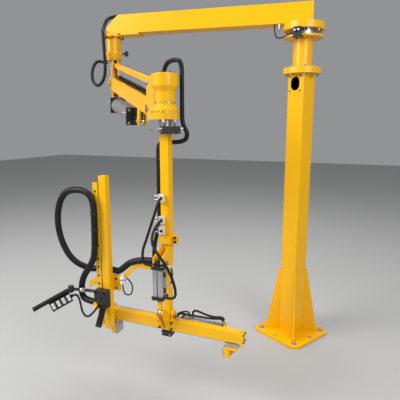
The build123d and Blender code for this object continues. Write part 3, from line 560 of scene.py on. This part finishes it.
# Lift cylinder: a grey drawn barrel between square black end caps on four cap screws each,
# with silencers in its ports and a bright rod through a gland ring.
lift_at = arm_at @ Matrix.Translation((0.0, 0.0, lift_pin_z)) @ Matrix.Rotation(radians(10.51), 4, "Y")
barrel_grey = two_tone("barrel_grey", (0.30, 0.30, 0.305), (0.40, 0.40, 0.405), 12.0, (0.32, 0.44),
                       (300.0, 0.05), metal=0.5, edge=0.0008)
coat_with(barrel_grey, "lift_barrel")
coat_with(black_metal, "lift_caps")
coat_with(bright_steel, "lift_rod")
corners = [(y, z) for y in (-0.044, 0.044) for z in (-0.044, 0.044)]
set_out("lift_cap_screws", socket_screw(0.018, 0.007),
        [facing(lift_at, (0.600, y, z), (1, 0, 0)) for y, z in corners]
        + [facing(lift_at, (0.062, y, z), (-1, 0, 0)) for y, z in corners], zinc, "lift_barrel_body")
set_out("lift_silencers", air_fitting(0.014),
        [facing(lift_at, (x, -0.0575, 0.020), FRONT) for x in (0.075, 0.587)], zinc, "lift_barrel_body")
set_out("lift_gland", hose_saddle(0.034, 0.012),
        [lift_at @ Matrix.Translation((0.607, 0.0, 0.0))], dark_zinc, "lift_barrel_body")
set_out("lug_bolts", hex_bolt(0.013, 0.006),
        [facing(beam_at, (0.8063, s * 0.034, -0.132), (0, s, 0)) for s in (-1, 1)], zinc, "beam_body")

# Head: a turned drum between two cheek plates, with two rows of bright screws round its foot,
# a screwed lid on top and the beam and tie pins through the cheeks.
mast_axis = (-0.54405, -1.04805, 0.0)
head_at = Matrix.Translation(mast_axis) @ Matrix.Rotation(arm_turn, 4, "Z")
coat_with(yellow_enamel, "head")
coat_with(bright_steel, "head_bearing")
set_out("head_pin_caps", hex_bolt(0.016, 0.007, washer=0.032),
        [facing(head_at, (-0.145, s * 0.054, z), (0, s, 0)) for s in (-1, 1) for z in (1.690, 1.828)],
        zinc, "head_body")
screw_rows = ((0.0709, 1.668, range(-130, 140, 20)), (0.0549, 1.715, range(-120, 130, 20)))
set_out("drum_screws", socket_screw(0.009, 0.004),
        [facing(head_at, (x, y, z), (x, y, 0)) for radius, z, turns in screw_rows
         for x, y in circle(radius, turns)], zinc, "head_body")
lid = drum(0.112, 0.0, 0.004, 48)
press(lid, on_top, 0.016, -0.001)
set_out("drum_lid", soften(lid, 0.001),
        [head_at @ Matrix.Translation((0, 0, 1.861))], yellow_enamel, "head_body")
set_out("lid_screws", socket_screw(0.010, 0.005),
        [facing(head_at, (x, y, 1.865), UP) for x, y in circle(0.048, range(15, 375, 60))],
        dark_zinc, "head_body")

# Arch hose: ribbed rubber conduit that comes from the beam, rises over the head and drops down its
# side to the swivel hose.
arch_path = routed("arch_line", [
    (-0.232, 0.028, 1.794), (-0.108, 0.028, 1.786), (-0.098, 0.028, 1.930), (0.028, 0.066, 1.940),
    (0.0315, 0.0822, 1.905), (0.0315, 0.0822, 1.850), (0.0315, 0.0822, 1.655)], head_at)
arch = ribbed_tube("arch", arch_path, 0.025, fine_ribs)
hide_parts("arch_hose")
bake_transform(arch)

# Turning brake: a dark calliper that hangs from the head on two chrome sleeves and grips the mast
# disc, with two push-in air fittings on its outer face.
coat_with(black_metal, "head_brake")
sleeve = soften(drum(0.0142, 0.0, 0.034, 24), 0.0008)
set_out("brake_sleeves", sleeve, [head_at @ Matrix.Translation((0.056, y, 1.5945)) for y in (-0.030, 0.030)],
        bright_steel, "head_body")
set_out("calliper_fittings", air_fitting(0.010),
        [facing(head_at, (0.084, s * 0.048, 1.582), (0, s, 0)) for s in (-1, 1)], zinc, "head_body")
set_out("calliper_screws", socket_screw(0.011, 0.006),
        [facing(head_at, (x, y, 1.556), DOWN) for x in (0.060, 0.088) for y in (-0.034, 0.034)],
        zinc, "head_body")

# Swivel hose: the end of the ribbed conduit, which drops past the brake and turns in behind the
# mast to meet the mast hose.
swivel_path = routed("swivel_line", [
    (0.0315, 0.0822, 1.655), (0.0315, 0.0822, 1.605), (0.062, 0.104, 1.558), (0.037, 0.0937, 1.508),
    (-0.0216, 0.0363, 1.508)], head_at)
swivel = ribbed_tube("swivel", swivel_path, 0.025, fine_ribs)
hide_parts("swivel_hose")
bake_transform(swivel)

# Mast: a square tube under a bright disc, with a clamped square bar that slides in it. The clamp
# ear is drawn up by two black cap screws.
tilt_height = 0.532
mast_at = Matrix.Translation(mast_axis)
tool_at = mast_at @ Matrix.Translation((0.0, 0.0, tilt_height))
collar_rows = (0.9625, 0.9855)
coat_with(bright_steel, "mast_disc")
coat_with(yellow_enamel, "mast_tube", "mast_bar")
set_out("collar_screws", socket_screw(0.013, 0.010),
        [facing(mast_at, (0.052, -0.007, z), FRONT) for z in collar_rows], dark_zinc, "mast_body")
set_out("collar_nuts", hex_bolt(0.013, 0.006),
        [facing(mast_at, (0.052, 0.007, z), (0, 1, 0)) for z in collar_rows], zinc, "mast_body")
set_out("mast_disc_screws", socket_screw(0.012, 0.007),
        [facing(mast_at, (x, y, 1.569), DOWN) for x, y in circle(0.046, range(0, 360, 90))],
        zinc, "mast_body")
set_out("trunnion_caps", hex_bolt(0.013, 0.006, washer=0.024),
        [facing(mast_at, (s * 0.028, -0.100, 0.880), (s, 0, 0)) for s in (-1, 1)], zinc, "mast_body")

# Valves: three moulded pale blocks on the front of the mast, each with a screwed face and two
# push-in fittings on its left side, and a black knob on the lowest.
pale_plastic = two_tone("pale_plastic", (0.70, 0.69, 0.65), (0.80, 0.79, 0.75), 30.0, (0.34, 0.46),
                        (500.0, 0.06), edge=0.001)
coat_with(pale_plastic, "control_paddles")
shell = brick(-0.030, 0.0, -0.051, -0.0252, -0.022, 0.022)
press(shell, lambda face: face.normal.y < -0.9, 0.004, -0.002)
valve_places = [mast_at @ Matrix.Translation((0, 0, z)) for z in (1.030, 1.087, 1.210)]
valves = set_out("valve_blocks", soften(shell, 0.0025), valve_places, pale_plastic, "mast_body")
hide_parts("mast_valves")
set_out("valve_screws", socket_screw(0.006, 0.003),
        [facing(place, (x, -0.049, z), FRONT) for place in valve_places
         for x, z in ((-0.024, 0.015), (-0.006, -0.015))], zinc, "mast_body")
set_out("valve_fittings", air_fitting(0.011),
        [facing(place, (-0.030, -0.038, z), (-1, 0, 0)) for place in valve_places for z in (-0.011, 0.011)],
        zinc, "mast_body")
set_out("valve_knobs", star_knob(0.014, 0.010, 0.003),
        [facing(place, (-0.010, -0.051, 0.0), FRONT) for place in valve_places[:1]],
        black_plastic, "mast_body")

# Mast hose and feeds: ribbed conduit round the back of the mast, clipped down its left side to
# the brace, and two thinner hoses from the valves to the tilt cylinder, long enough for its swing.
mast_path = routed("mast_line", [
    (0.0094, 0.041, 1.508), (-0.020, 0.041, 1.508), (-0.041, 0.041, 1.508), (-0.041, 0.012, 1.500),
    (-0.041, -0.012, 1.488), (-0.041, -0.012, 1.450), (-0.041, -0.012, 1.280), (-0.041, -0.012, 1.100),
    (-0.041, -0.012, 1.060), (-0.052, -0.026, 1.000), (-0.062, -0.043, 0.930),
    (-0.062, -0.043, 0.8675)], mast_at)
mast_run = ribbed_tube("mast_run", mast_path, 0.024, fine_ribs)
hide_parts("mast_hose")
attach(mast_run, "mast_body")
set_out("mast_clips", hose_saddle(0.0245, 0.008),
        [mast_at @ Matrix.Translation((-0.041, -0.012, z))
         @ Matrix.Rotation(pi / 2, 4, "Y") @ Matrix.Rotation(pi / 2, 4, "X")
         for z in (1.420, 1.280, 1.140)], black_plastic, "mast_body")
upper_path = routed("upper_feed", [
    (-0.006, -0.051, 1.214), (-0.008, -0.074, 1.208), (-0.030, -0.080, 1.140), (-0.066, -0.066, 1.060),
    (-0.088, -0.078, 0.985), (-0.104, -0.104, 0.915), (-0.098, -0.104, 0.850), (-0.070, -0.100, 0.842),
    (-0.042, -0.100, 0.842)], mast_at)
upper_feed = ribbed_tube("upper_feed", upper_path, 0.015, no_ribs, sides=16)
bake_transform(upper_feed)
lower_path = routed("lower_feed", [
    (-0.006, -0.051, 1.091), (-0.008, -0.074, 1.086), (-0.040, -0.084, 1.040), (-0.036, -0.124, 0.985),
    (0.010, -0.152, 0.940), (0.062, -0.142, 0.870), (0.090, -0.116, 0.780), (0.100, -0.102, 0.700),
    (0.082, -0.100, 0.667), (0.042, -0.100, 0.667)], mast_at)
lower_feed = ribbed_tube("lower_feed", lower_path, 0.015, no_ribs, sides=16)
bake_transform(lower_feed)

# Post and brace: a bent flat bar from the mast to an upright box with a plastic end cap, and a
# dark slide rail screwed to the side of the box.
coat_with(yellow_enamel, "post_brace", "post")
coat_with(black_metal, "post_rail")
cap = brick(-0.3845, -0.3395, -0.0875, -0.0485, 1.316, 1.3205)
press(cap, on_top, 0.004)
set_out("post_cap", soften(cap, 0.0012), [mast_at], yellow_enamel, "mast_body")
set_out("brace_screws", socket_screw(0.012, 0.007),
        [facing(mast_at, (-0.316, -0.048, z), FRONT) for z in (0.652, 0.708)], dark_zinc, "mast_body")

# Pressure regulator: a pale bowl with a red lock ring on the brace end, and a short loop of
# line out of it.
lock_red = two_tone("lock_red", (0.42, 0.020, 0.012), (0.52, 0.032, 0.02), 40.0, (0.32, 0.44), (500.0, 0.05))
bowl = joined(soften(drum(0.030, 0.0, 0.026, 28), 0.004), soften(drum(0.034, 0.030, 0.044, 28), 0.002),
              soften(drum(0.018, 0.044, 0.056, 20), 0.002))
bowl_at = mast_at @ Matrix.Translation((-0.262, -0.0655, 0.690))
set_out("regulator_bowl", bowl, [bowl_at], pale_plastic, "mast_body")
lock = drum(0.033, 0.0255, 0.0305, 28)
press(lock, lambda face: abs(face.normal.z) < 0.2 and face.index % 3 == 0, 0.0005, 0.001)
set_out("regulator_ring", soften(lock, 0.0006), [bowl_at], lock_red, "mast_body")
set_out("regulator_foot", soften(brick(-0.272, -0.252, -0.0510, -0.0478, 0.698, 0.728), 0.0015),
        [mast_at], zinc, "mast_body")
regulator_path = routed("regulator_line", [
    (-0.262, -0.0655, 0.690), (-0.262, -0.0655, 0.655), (-0.240, -0.070, 0.625), (-0.196, -0.074, 0.640),
    (-0.190, -0.072, 0.690), (-0.215, -0.062, 0.716), (-0.245, -0.048, 0.722)], mast_at)
regulator_line = ribbed_tube("regulator_line", regulator_path, 0.008, no_ribs, sides=12)
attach(regulator_line, "mast_body")

# Brace hose and loop hose: thick ribbed conduit laid on the brace, then a big free loop that
# feeds the handle.
thick_ribs = (0.0075, 0.0018)
brace_path = routed("brace_line", [
    (-0.0473, -0.043, 0.3162), (-0.1913, -0.043, 0.3162), (-0.2993, -0.043, 0.2183), (-0.332, -0.023, 0.2183),
    (-0.412, -0.023, 0.2183)], tool_at)
brace_run = ribbed_tube("brace_run", brace_path, 0.038, thick_ribs, sides=24)
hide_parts("brace_hose")
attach(brace_run, "mast_body")
loop_path = routed("loop_line", [
    (-0.412, -0.023, 0.2183), (-0.457, -0.023, 0.2183), (-0.505, -0.027, 0.200), (-0.612, -0.072, 0.255),
    (-0.670, -0.098, 0.392), (-0.680, -0.104, 0.545), (-0.622, -0.108, 0.684), (-0.498, -0.114, 0.713),
    (-0.406, -0.1123, 0.676), (-0.406, -0.1123, 0.590)], tool_at)
loop_run = ribbed_tube("loop_run", loop_path, 0.038, thick_ribs, sides=24)
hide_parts("loop_hose")
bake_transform(loop_run)

# Tilt cylinder: an extruded aluminium barrel with a slot in the middle of each face, between
# square black caps on four screws each, a bright rod, and a push-in fitting in each cap.
tilt_at = tool_at @ Matrix.Translation((0.0, -0.100, 0.348))
drawn_aluminium = two_tone("drawn_aluminium", (0.48, 0.48, 0.49), (0.60, 0.60, 0.61), 60.0, (0.30, 0.42),
                           (300.0, 0.05), metal=1.0, stretch=(1.0, 1.0, 0.05),
                           edge=0.0008)


def slotted_bar(half, slot, depth, length):
    corner = half * 0.14
    neck = half - depth * 0.4
    floor = half - depth
    quarter = [(half, -half + corner), (half, -slot), (neck, -slot * 0.6), (floor, -slot * 1.4),
               (floor, slot * 1.4), (neck, slot * 0.6), (half, slot), (half, half - corner)]
    outline = []
    for turn in range(4):
        swing = Matrix.Rotation(turn * pi / 2, 2)
        outline += [swing @ Vector(point) for point in quarter]
    sheet = bpy.data.meshes.new("profile")
    sheet.from_pydata([(p.x, p.y, 0.0) for p in outline], [], [tuple(range(len(outline)))])
    bar = bpy.data.objects.new("profile", sheet)
    scene.collection.objects.link(bar)
    pick(bar)
    bpy.ops.object.mode_set(mode="EDIT")
    bpy.ops.mesh.select_all(action="SELECT")
    bpy.ops.mesh.extrude_region_move(TRANSFORM_OT_translate={"value": (0.0, 0.0, length)})
    bpy.ops.mesh.select_all(action="SELECT")
    bpy.ops.mesh.normals_make_consistent(inside=False)
    bpy.ops.object.mode_set(mode="OBJECT")
    return soften(bar, 0.0006)


barrel = set_out("tilt_profile", slotted_bar(0.030, 0.0035, 0.007, 0.156),
                 [tilt_at @ Matrix.Translation((0, 0, -0.204))], drawn_aluminium, "tilt_barrel_body")
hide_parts("tilt_barrel")
coat_with(black_metal, "tilt_caps")
coat_with(bright_steel, "tilt_rod")
tilt_corners = [(x, y) for x in (-0.026, 0.026) for y in (-0.026, 0.026)]
set_out("tilt_cap_screws", socket_screw(0.011, 0.005),
        [facing(tilt_at, (x, y, -0.030), UP) for x, y in tilt_corners]
        + [facing(tilt_at, (x, y, -0.222), DOWN) for x, y in tilt_corners], zinc, "tilt_barrel_body")
set_out("tilt_fittings", air_fitting(0.012),
        [facing(tilt_at, (-0.034, 0.0, -0.038), (-1, 0, 0)),
         facing(tilt_at, (0.034, 0.0, -0.213), (1, 0, 0))], zinc, "tilt_barrel_body")
rod_head = brick(-0.0115, 0.0115, -0.012, 0.012, -0.286, -0.233)
press(rod_head, on_top, 0.003, 0.002)
set_out("rod_head", soften(rod_head, 0.002), [tilt_at], yellow_enamel, "tilt_rod_body")
set_out("flow_fittings", air_fitting(0.015),
        [facing(tilt_at, (0.034, 0.016, -0.038), (1, 0, 0)),
         facing(tilt_at, (0.030, 0.016, -0.135), (1, 0, 0))], pale_plastic, "tilt_barrel_body")
flow_path = routed("flow_line", [(0.050, 0.016, -0.038), (0.066, 0.016, -0.040), (0.070, 0.016, -0.086),
                                 (0.064, 0.016, -0.133), (0.046, 0.016, -0.135)], tilt_at)
flow_line = ribbed_tube("flow_line", flow_path, 0.009, no_ribs, sides=12)
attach(flow_line, "tilt_barrel_body")
sensor = soften(brick(-0.0045, 0.0045, -0.0352, -0.0300, -0.125, -0.095), 0.0015)
set_out("tilt_switches", sensor,
        [tilt_at @ Matrix.Translation((0, 0, z)) @ Matrix.Rotation(pi / 2, 4, "Z") for z in (0.030, -0.060)],
        black_plastic, "tilt_barrel_body")

# Tool beam: a square box with end plates on a bolted saddle, with a ground guide rail under it
# and the black pinion box that keeps both jaws in step.
coat_with(yellow_enamel, "tool_beam", "saddle")
coat_with(bright_steel, "jaw_guide", "clamp_rod")
coat_with(black_metal, "pinion_box")
set_out("saddle_screws", socket_screw(0.013, 0.008),
        [facing(tool_at, (x, -0.038, z), FRONT) for x in (-0.038, 0.038) for z in (-0.080, -0.042)],
        dark_zinc, "tool_body")
set_out("saddle_top_screws", socket_screw(0.011, 0.007),
        [facing(tool_at, (x, 0.006, -0.024), UP) for x in (-0.043, 0.043)], dark_zinc, "tool_body")
set_out("end_plate_screws", socket_screw(0.010, 0.006),
        [facing(tool_at, (x, y, z), (s, 0, 0)) for x, s in ((0.457, 1), (-0.467, -1)) for y in (-0.022, 0.008)
         for z in (-0.042, -0.082)], dark_zinc, "tool_body")
set_out("end_stops", hex_bolt(0.014, 0.010),
        [facing(tool_at, (x, -0.007, -0.0318), UP) for x in (0.440, -0.450)], yellow_enamel, "tool_body")
set_out("pinion_screws", socket_screw(0.009, 0.005),
        [facing(tool_at, (x, -0.033, -0.119), FRONT) for x in (-0.022, 0.022)], zinc, "tool_body")
set_out("tilt_pin_bolts", hex_bolt(0.013, 0.006),
        [facing(tool_at, (s * 0.044, 0.0, 0.0), (s, 0, 0)) for s in (-1, 1)], zinc, "tool_body")

# Clamp cylinder: a slim slotted aluminium barrel with black ends behind the beam. Ribbed lines
# run from fittings beside the saddle to its near and far ports, and one crosses between them.
clamp_at = tool_at @ Matrix.Translation((0.0, 0.046, -0.052))
clamp = set_out("clamp_profile", slotted_bar(0.0178, 0.003, 0.005, 0.236),
                [clamp_at @ Matrix.Translation((0.078, 0, 0)) @ Matrix.Rotation(pi / 2, 4, "Y")],
                drawn_aluminium, "tool_body")
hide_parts("clamp_barrel")
clamp_end = brick(0.0, 0.016, -0.018, 0.018, -0.018, 0.018)
press(clamp_end, lambda face: abs(face.normal.x) > 0.9, 0.004, -0.001)
set_out("clamp_ends", soften(clamp_end, 0.0015),
        [clamp_at @ Matrix.Translation((x, 0, 0)) for x in (0.0622, 0.3138)], black_metal, "tool_body")
set_out("clamp_fittings", air_fitting(0.012),
        [facing(clamp_at, (x, y, 0.018), UP) for x, y in
         ((0.118, -0.008), (0.132, 0.006), (0.322, -0.0085), (0.322, 0.0085))], zinc, "tool_body")
set_out("beam_fittings", air_fitting(0.012),
        [facing(clamp_at, (0.062, y, 0.020), UP) for y in (-0.040, -0.058)], zinc, "tool_body")
set_out("clamp_lug_nut", hex_bolt(0.017, 0.008, washer=0.024),
        [facing(clamp_at, (0.342, 0.0, 0.0), (1, 0, 0))], zinc, "tool_body")
for name, length, dia, points in (
    ("clamp_line_near", 0.104, 0.010, [
        (0.118, -0.008, 0.0395), (0.115, -0.010, 0.057), (0.100, -0.024, 0.065), (0.078, -0.048, 0.067),
        (0.063, -0.058, 0.058), (0.062, -0.058, 0.0415)]),
    ("clamp_line_far", 0.276, 0.013, [
        (0.322, -0.0085, 0.0395), (0.316, -0.0085, 0.0505), (0.300, -0.009, 0.0505), (0.260, -0.010, 0.043),
        (0.200, -0.012, 0.042), (0.140, -0.022, 0.046), (0.090, -0.037, 0.054), (0.066, -0.040, 0.056),
        (0.062, -0.040, 0.0415)]),
    ("clamp_line_cross", 0.214, 0.013, [
        (0.132, 0.006, 0.0395), (0.132, 0.006, 0.054), (0.146, 0.007, 0.066), (0.172, 0.007, 0.062),
        (0.220, 0.008, 0.049), (0.268, 0.0085, 0.045), (0.300, 0.0085, 0.0515), (0.316, 0.0085, 0.0505),
        (0.322, 0.0085, 0.0395)]),
):
    clamp_path = routed(name, points, clamp_at)
    clamp_line = ribbed_tube(name, clamp_path, dia, (0.0045, 0.0008), sides=16)
    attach(clamp_line, "tool_body")

# Jaws: yellow angle brackets on aluminium carriages, each with a grey facing pad held by two
# countersunk screws.
grey_pad = two_tone("grey_pad", (0.36, 0.34, 0.32), (0.46, 0.44, 0.42), 60.0, (0.70, 0.85),
                    (600.0, 0.25), edge=0.0015)
coat_with(yellow_enamel, "right_jaw", "left_jaw")
coat_with(drawn_aluminium, "right_carriage", "left_carriage")
coat_with(grey_pad, "right_pad", "left_pad")
set_out("right_jaw_screws", socket_screw(0.010, 0.006),
        [facing(tool_at, (x, y, -0.133), DOWN) for x in (0.395, 0.416) for y in (-0.029, 0.015)],
        dark_zinc, "right_jaw_body")
set_out("left_jaw_screws", socket_screw(0.010, 0.006),
        [facing(tool_at, (x, y, -0.133), DOWN) for x in (-0.380, -0.401) for y in (-0.029, 0.015)],
        dark_zinc, "left_jaw_body")
set_out("right_pad_screws", socket_screw(0.010, 0.0012),
        [facing(tool_at, (0.345, y, -0.158), (-1, 0, 0)) for y in (-0.027, 0.013)], zinc, "right_jaw_body")
set_out("left_pad_screws", socket_screw(0.010, 0.0012),
        [facing(tool_at, (-0.330, y, -0.158), (1, 0, 0)) for y in (-0.027, 0.013)], zinc, "left_jaw_body")
set_out("rod_nut", hex_bolt(0.017, 0.008, washer=0.024), [facing(clamp_at, (-0.400, 0.0, 0.0), (1, 0, 0))],
        zinc, "left_jaw_body")

# Handle slides and bar: two rail slides carry a flat bar with a row of holes, screwed through
# the front, and a clamp block across its foot.
coat_with(drawn_aluminium, "handle_slides")
coat_with(yellow_enamel, "handle_bar")
coat_with(black_metal, "handle_block", "handle_arm")
set_out("slide_screws", socket_screw(0.009, 0.004),
        [facing(tool_at, (-0.432, -0.068, z), (-1, 0, 0)) for z in (0.122, 0.148, 0.282, 0.308)],
        dark_zinc, "handle_body")
set_out("block_screws", socket_screw(0.012, 0.008),
        [facing(tool_at, (x, -0.139, z), FRONT)
         for x, z in ((-0.402, 0.112), (-0.342, 0.030), (-0.372, 0.030))], dark_zinc, "handle_body")
set_out("height_knob", star_knob(0.026, 0.016, 0.006), [facing(tool_at, (-0.400, -0.139, 0.040), FRONT)],
        yellow_enamel, "handle_body")
hub_cap = drum(0.074, 0.0, 0.012, 40)
press(hub_cap, on_top, 0.010, -0.003)
press(hub_cap, lambda face: on_top(face) and face.area > 0.001, 0.014, 0.004)
set_out("pivot_cap", soften(hub_cap, 0.0015),
        [facing(tool_at, (-0.362, -0.139, 0.082), FRONT)], black_metal, "handle_body")
set_out("pivot_screw", hex_bolt(0.017, 0.008),
        [facing(tool_at, (-0.362, -0.151, 0.082), FRONT)], dark_zinc, "handle_body")
set_out("bar_screws", socket_screw(0.013, 0.002),
        [facing(tool_at, (-0.406, -0.093, z), FRONT)
         for z in (0.700, 0.300, 0.250, 0.200, 0.150, 0.0, -0.050, -0.100)], dark_zinc, "handle_body")
guard = brick(-0.470, -0.4205, -0.0935, -0.0885, 0.146, 0.186)


def slide_points(piece, test, move):
    unmark(piece, points=True)
    for point in piece.data.vertices:
        point.select = test(point.co)
    bpy.ops.object.mode_set(mode="EDIT")
    bpy.ops.transform.translate(value=move)
    bpy.ops.object.mode_set(mode="OBJECT")


slide_points(guard, lambda co: co.x < -0.45, (0.0, -0.010, -0.026))
set_out("bar_guard", soften(guard, 0.0015), [tool_at], yellow_enamel, "handle_body")

# Grip and switch box: a ribbed rubber grip with an end cap on a bent arm with a bright collar, and
# a moulded box below it with four pale thumb paddles.
grip_rubber = two_tone("grip_rubber", (0.006, 0.006, 0.006), (0.013, 0.013, 0.013), 80.0, (0.62, 0.78),
                       (1200.0, 0.30), gloss=0.3)
coat_with(black_plastic, "control_box")
coat_with(grip_rubber, "hand_grips")
grip_from = Vector((-0.566, -0.152, 0.114))
grip_to = Vector((-0.703, -0.320, 0.029))
grip_way = (grip_to - grip_from).normalized()
grip_up = (Vector(UP) - grip_way * grip_way.z).normalized()
grip_side = grip_up.cross(grip_way)
grip_root = grip_from + grip_way * 0.0173
grip_turn = Matrix((grip_way, grip_side, grip_up)).transposed().to_4x4()
grip_at = tool_at @ Matrix.Translation(grip_root) @ grip_turn
arm_root = Vector((-0.452, -0.116, 0.106))
collar_way = (grip_from - arm_root).normalized()
collar = soften(drum(0.027, -0.014, 0.014, 28), 0.002)
set_out("arm_collar", collar, [facing(tool_at, arm_root.lerp(grip_from, 0.40), collar_way)],
        bright_steel, "handle_body")
knuckle = drum(0.034, -0.017, 0.017, 28)
press(knuckle, lambda face: abs(face.normal.z) > 0.9, 0.005, 0.002)
set_out("knuckle", soften(knuckle, 0.002), [facing(tool_at, grip_from, UP)], black_metal, "handle_body")
set_out("knuckle_bolts", hex_bolt(0.013, 0.007),
        [facing(tool_at, grip_from + Vector((0, 0, s * 0.019)), (0, 0, s)) for s in (-1, 1)],
        zinc, "handle_body")
cap_end = drum(0.0276, -0.0085, 0.0, 28)
press(cap_end, on_top, 0.004, -0.0008)
second_way = Vector((-0.006, -0.044, -0.092)).normalized()
second_end = drum(0.0385, -0.011, -0.0005, 32)
press(second_end, on_top, 0.005, -0.001)
set_out("grip_end", soften(cap_end, 0.0012),
        [facing(grip_at, (0.2152, 0, 0), (1, 0, 0))], black_plastic, "handle_body")
set_out("second_grip_end", soften(second_end, 0.0015),
        [facing(tool_at, (-0.378, -0.160, -0.090), second_way)], black_plastic, "handle_body")
bead = soften(drum(0.0275, -0.0012, 0.0012, 28), 0.0009)
set_out("grip_beads", bead, [facing(grip_at, (0.004 + 0.0075 * n, 0, 0), (1, 0, 0)) for n in range(28)],
        grip_rubber, "handle_body")
paddle = brick(-0.009, 0.009, 0.023, 0.0345, -0.010, 0.024)
press(paddle, lambda face: face.normal.y > 0.9, 0.0035, -0.0025)
paddles = set_out("thumb_paddles", soften(paddle, 0.0018),
                  [grip_at @ Matrix.Translation((0.0027 + 0.03125 * (n + 0.5), 0.0, -0.039))
                   for n in range(4)], pale_plastic, "handle_body")
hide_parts("control_paddles")
set_out("box_screws", socket_screw(0.006, 0.003),
        [facing(grip_at, (x, y, -0.065), DOWN) for x in (0.010, 0.120) for y in (-0.016, 0.016)],
        zinc, "handle_body")
set_out("box_gland", hex_bolt(0.018, 0.012),
        [facing(grip_at, (0.0027, 0.0, -0.044), (-1, 0, 0))], black_plastic, "handle_body")

# Switch cable: thin ribbed rubber conduit out of the box gland, which hangs in a short bow and ends
# at the clamp block.
switch_path = [grip_at @ Vector((-0.010, 0.0, -0.044)), grip_at @ Vector((-0.030, 0.0, -0.046))]
switch_path = routed("switch_line", [tool_at.inverted() @ p for p in switch_path] + [
    Vector((-0.500, -0.160, 0.062)), Vector((-0.468, -0.182, -0.010)), Vector((-0.428, -0.188, -0.026)),
    Vector((-0.390, -0.186, 0.006)), Vector((-0.388, -0.139, 0.028))], tool_at)
switch_line = ribbed_tube("switch_line", switch_path, 0.013, (0.0045, 0.0009), sides=16)
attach(switch_line, "handle_body")

# Bar hose: the far end of the thick conduit, strapped down the front of the bar and bent in to
# the clamp block.
bar_path = routed("bar_line", [
    (-0.406, -0.1123, 0.590), (-0.406, -0.1123, 0.345), (-0.442, -0.116, 0.262), (-0.520, -0.104, 0.170),
    (-0.534, -0.100, 0.052), (-0.470, -0.116, 0.040), (-0.4123, -0.116, 0.040)], tool_at)
bar_run = ribbed_tube("bar_run", bar_path, 0.038, thick_ribs, sides=24)
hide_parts("bar_hose")
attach(bar_run, "handle_body")
set_out("bar_straps", hose_saddle(0.0385, 0.008),
        [tool_at @ Matrix.Translation((-0.406, -0.1123, z)) @ Matrix.Rotation(pi / 2, 4, "Y")
         for z in (0.575, 0.480, 0.385)], black_plastic, "handle_body")
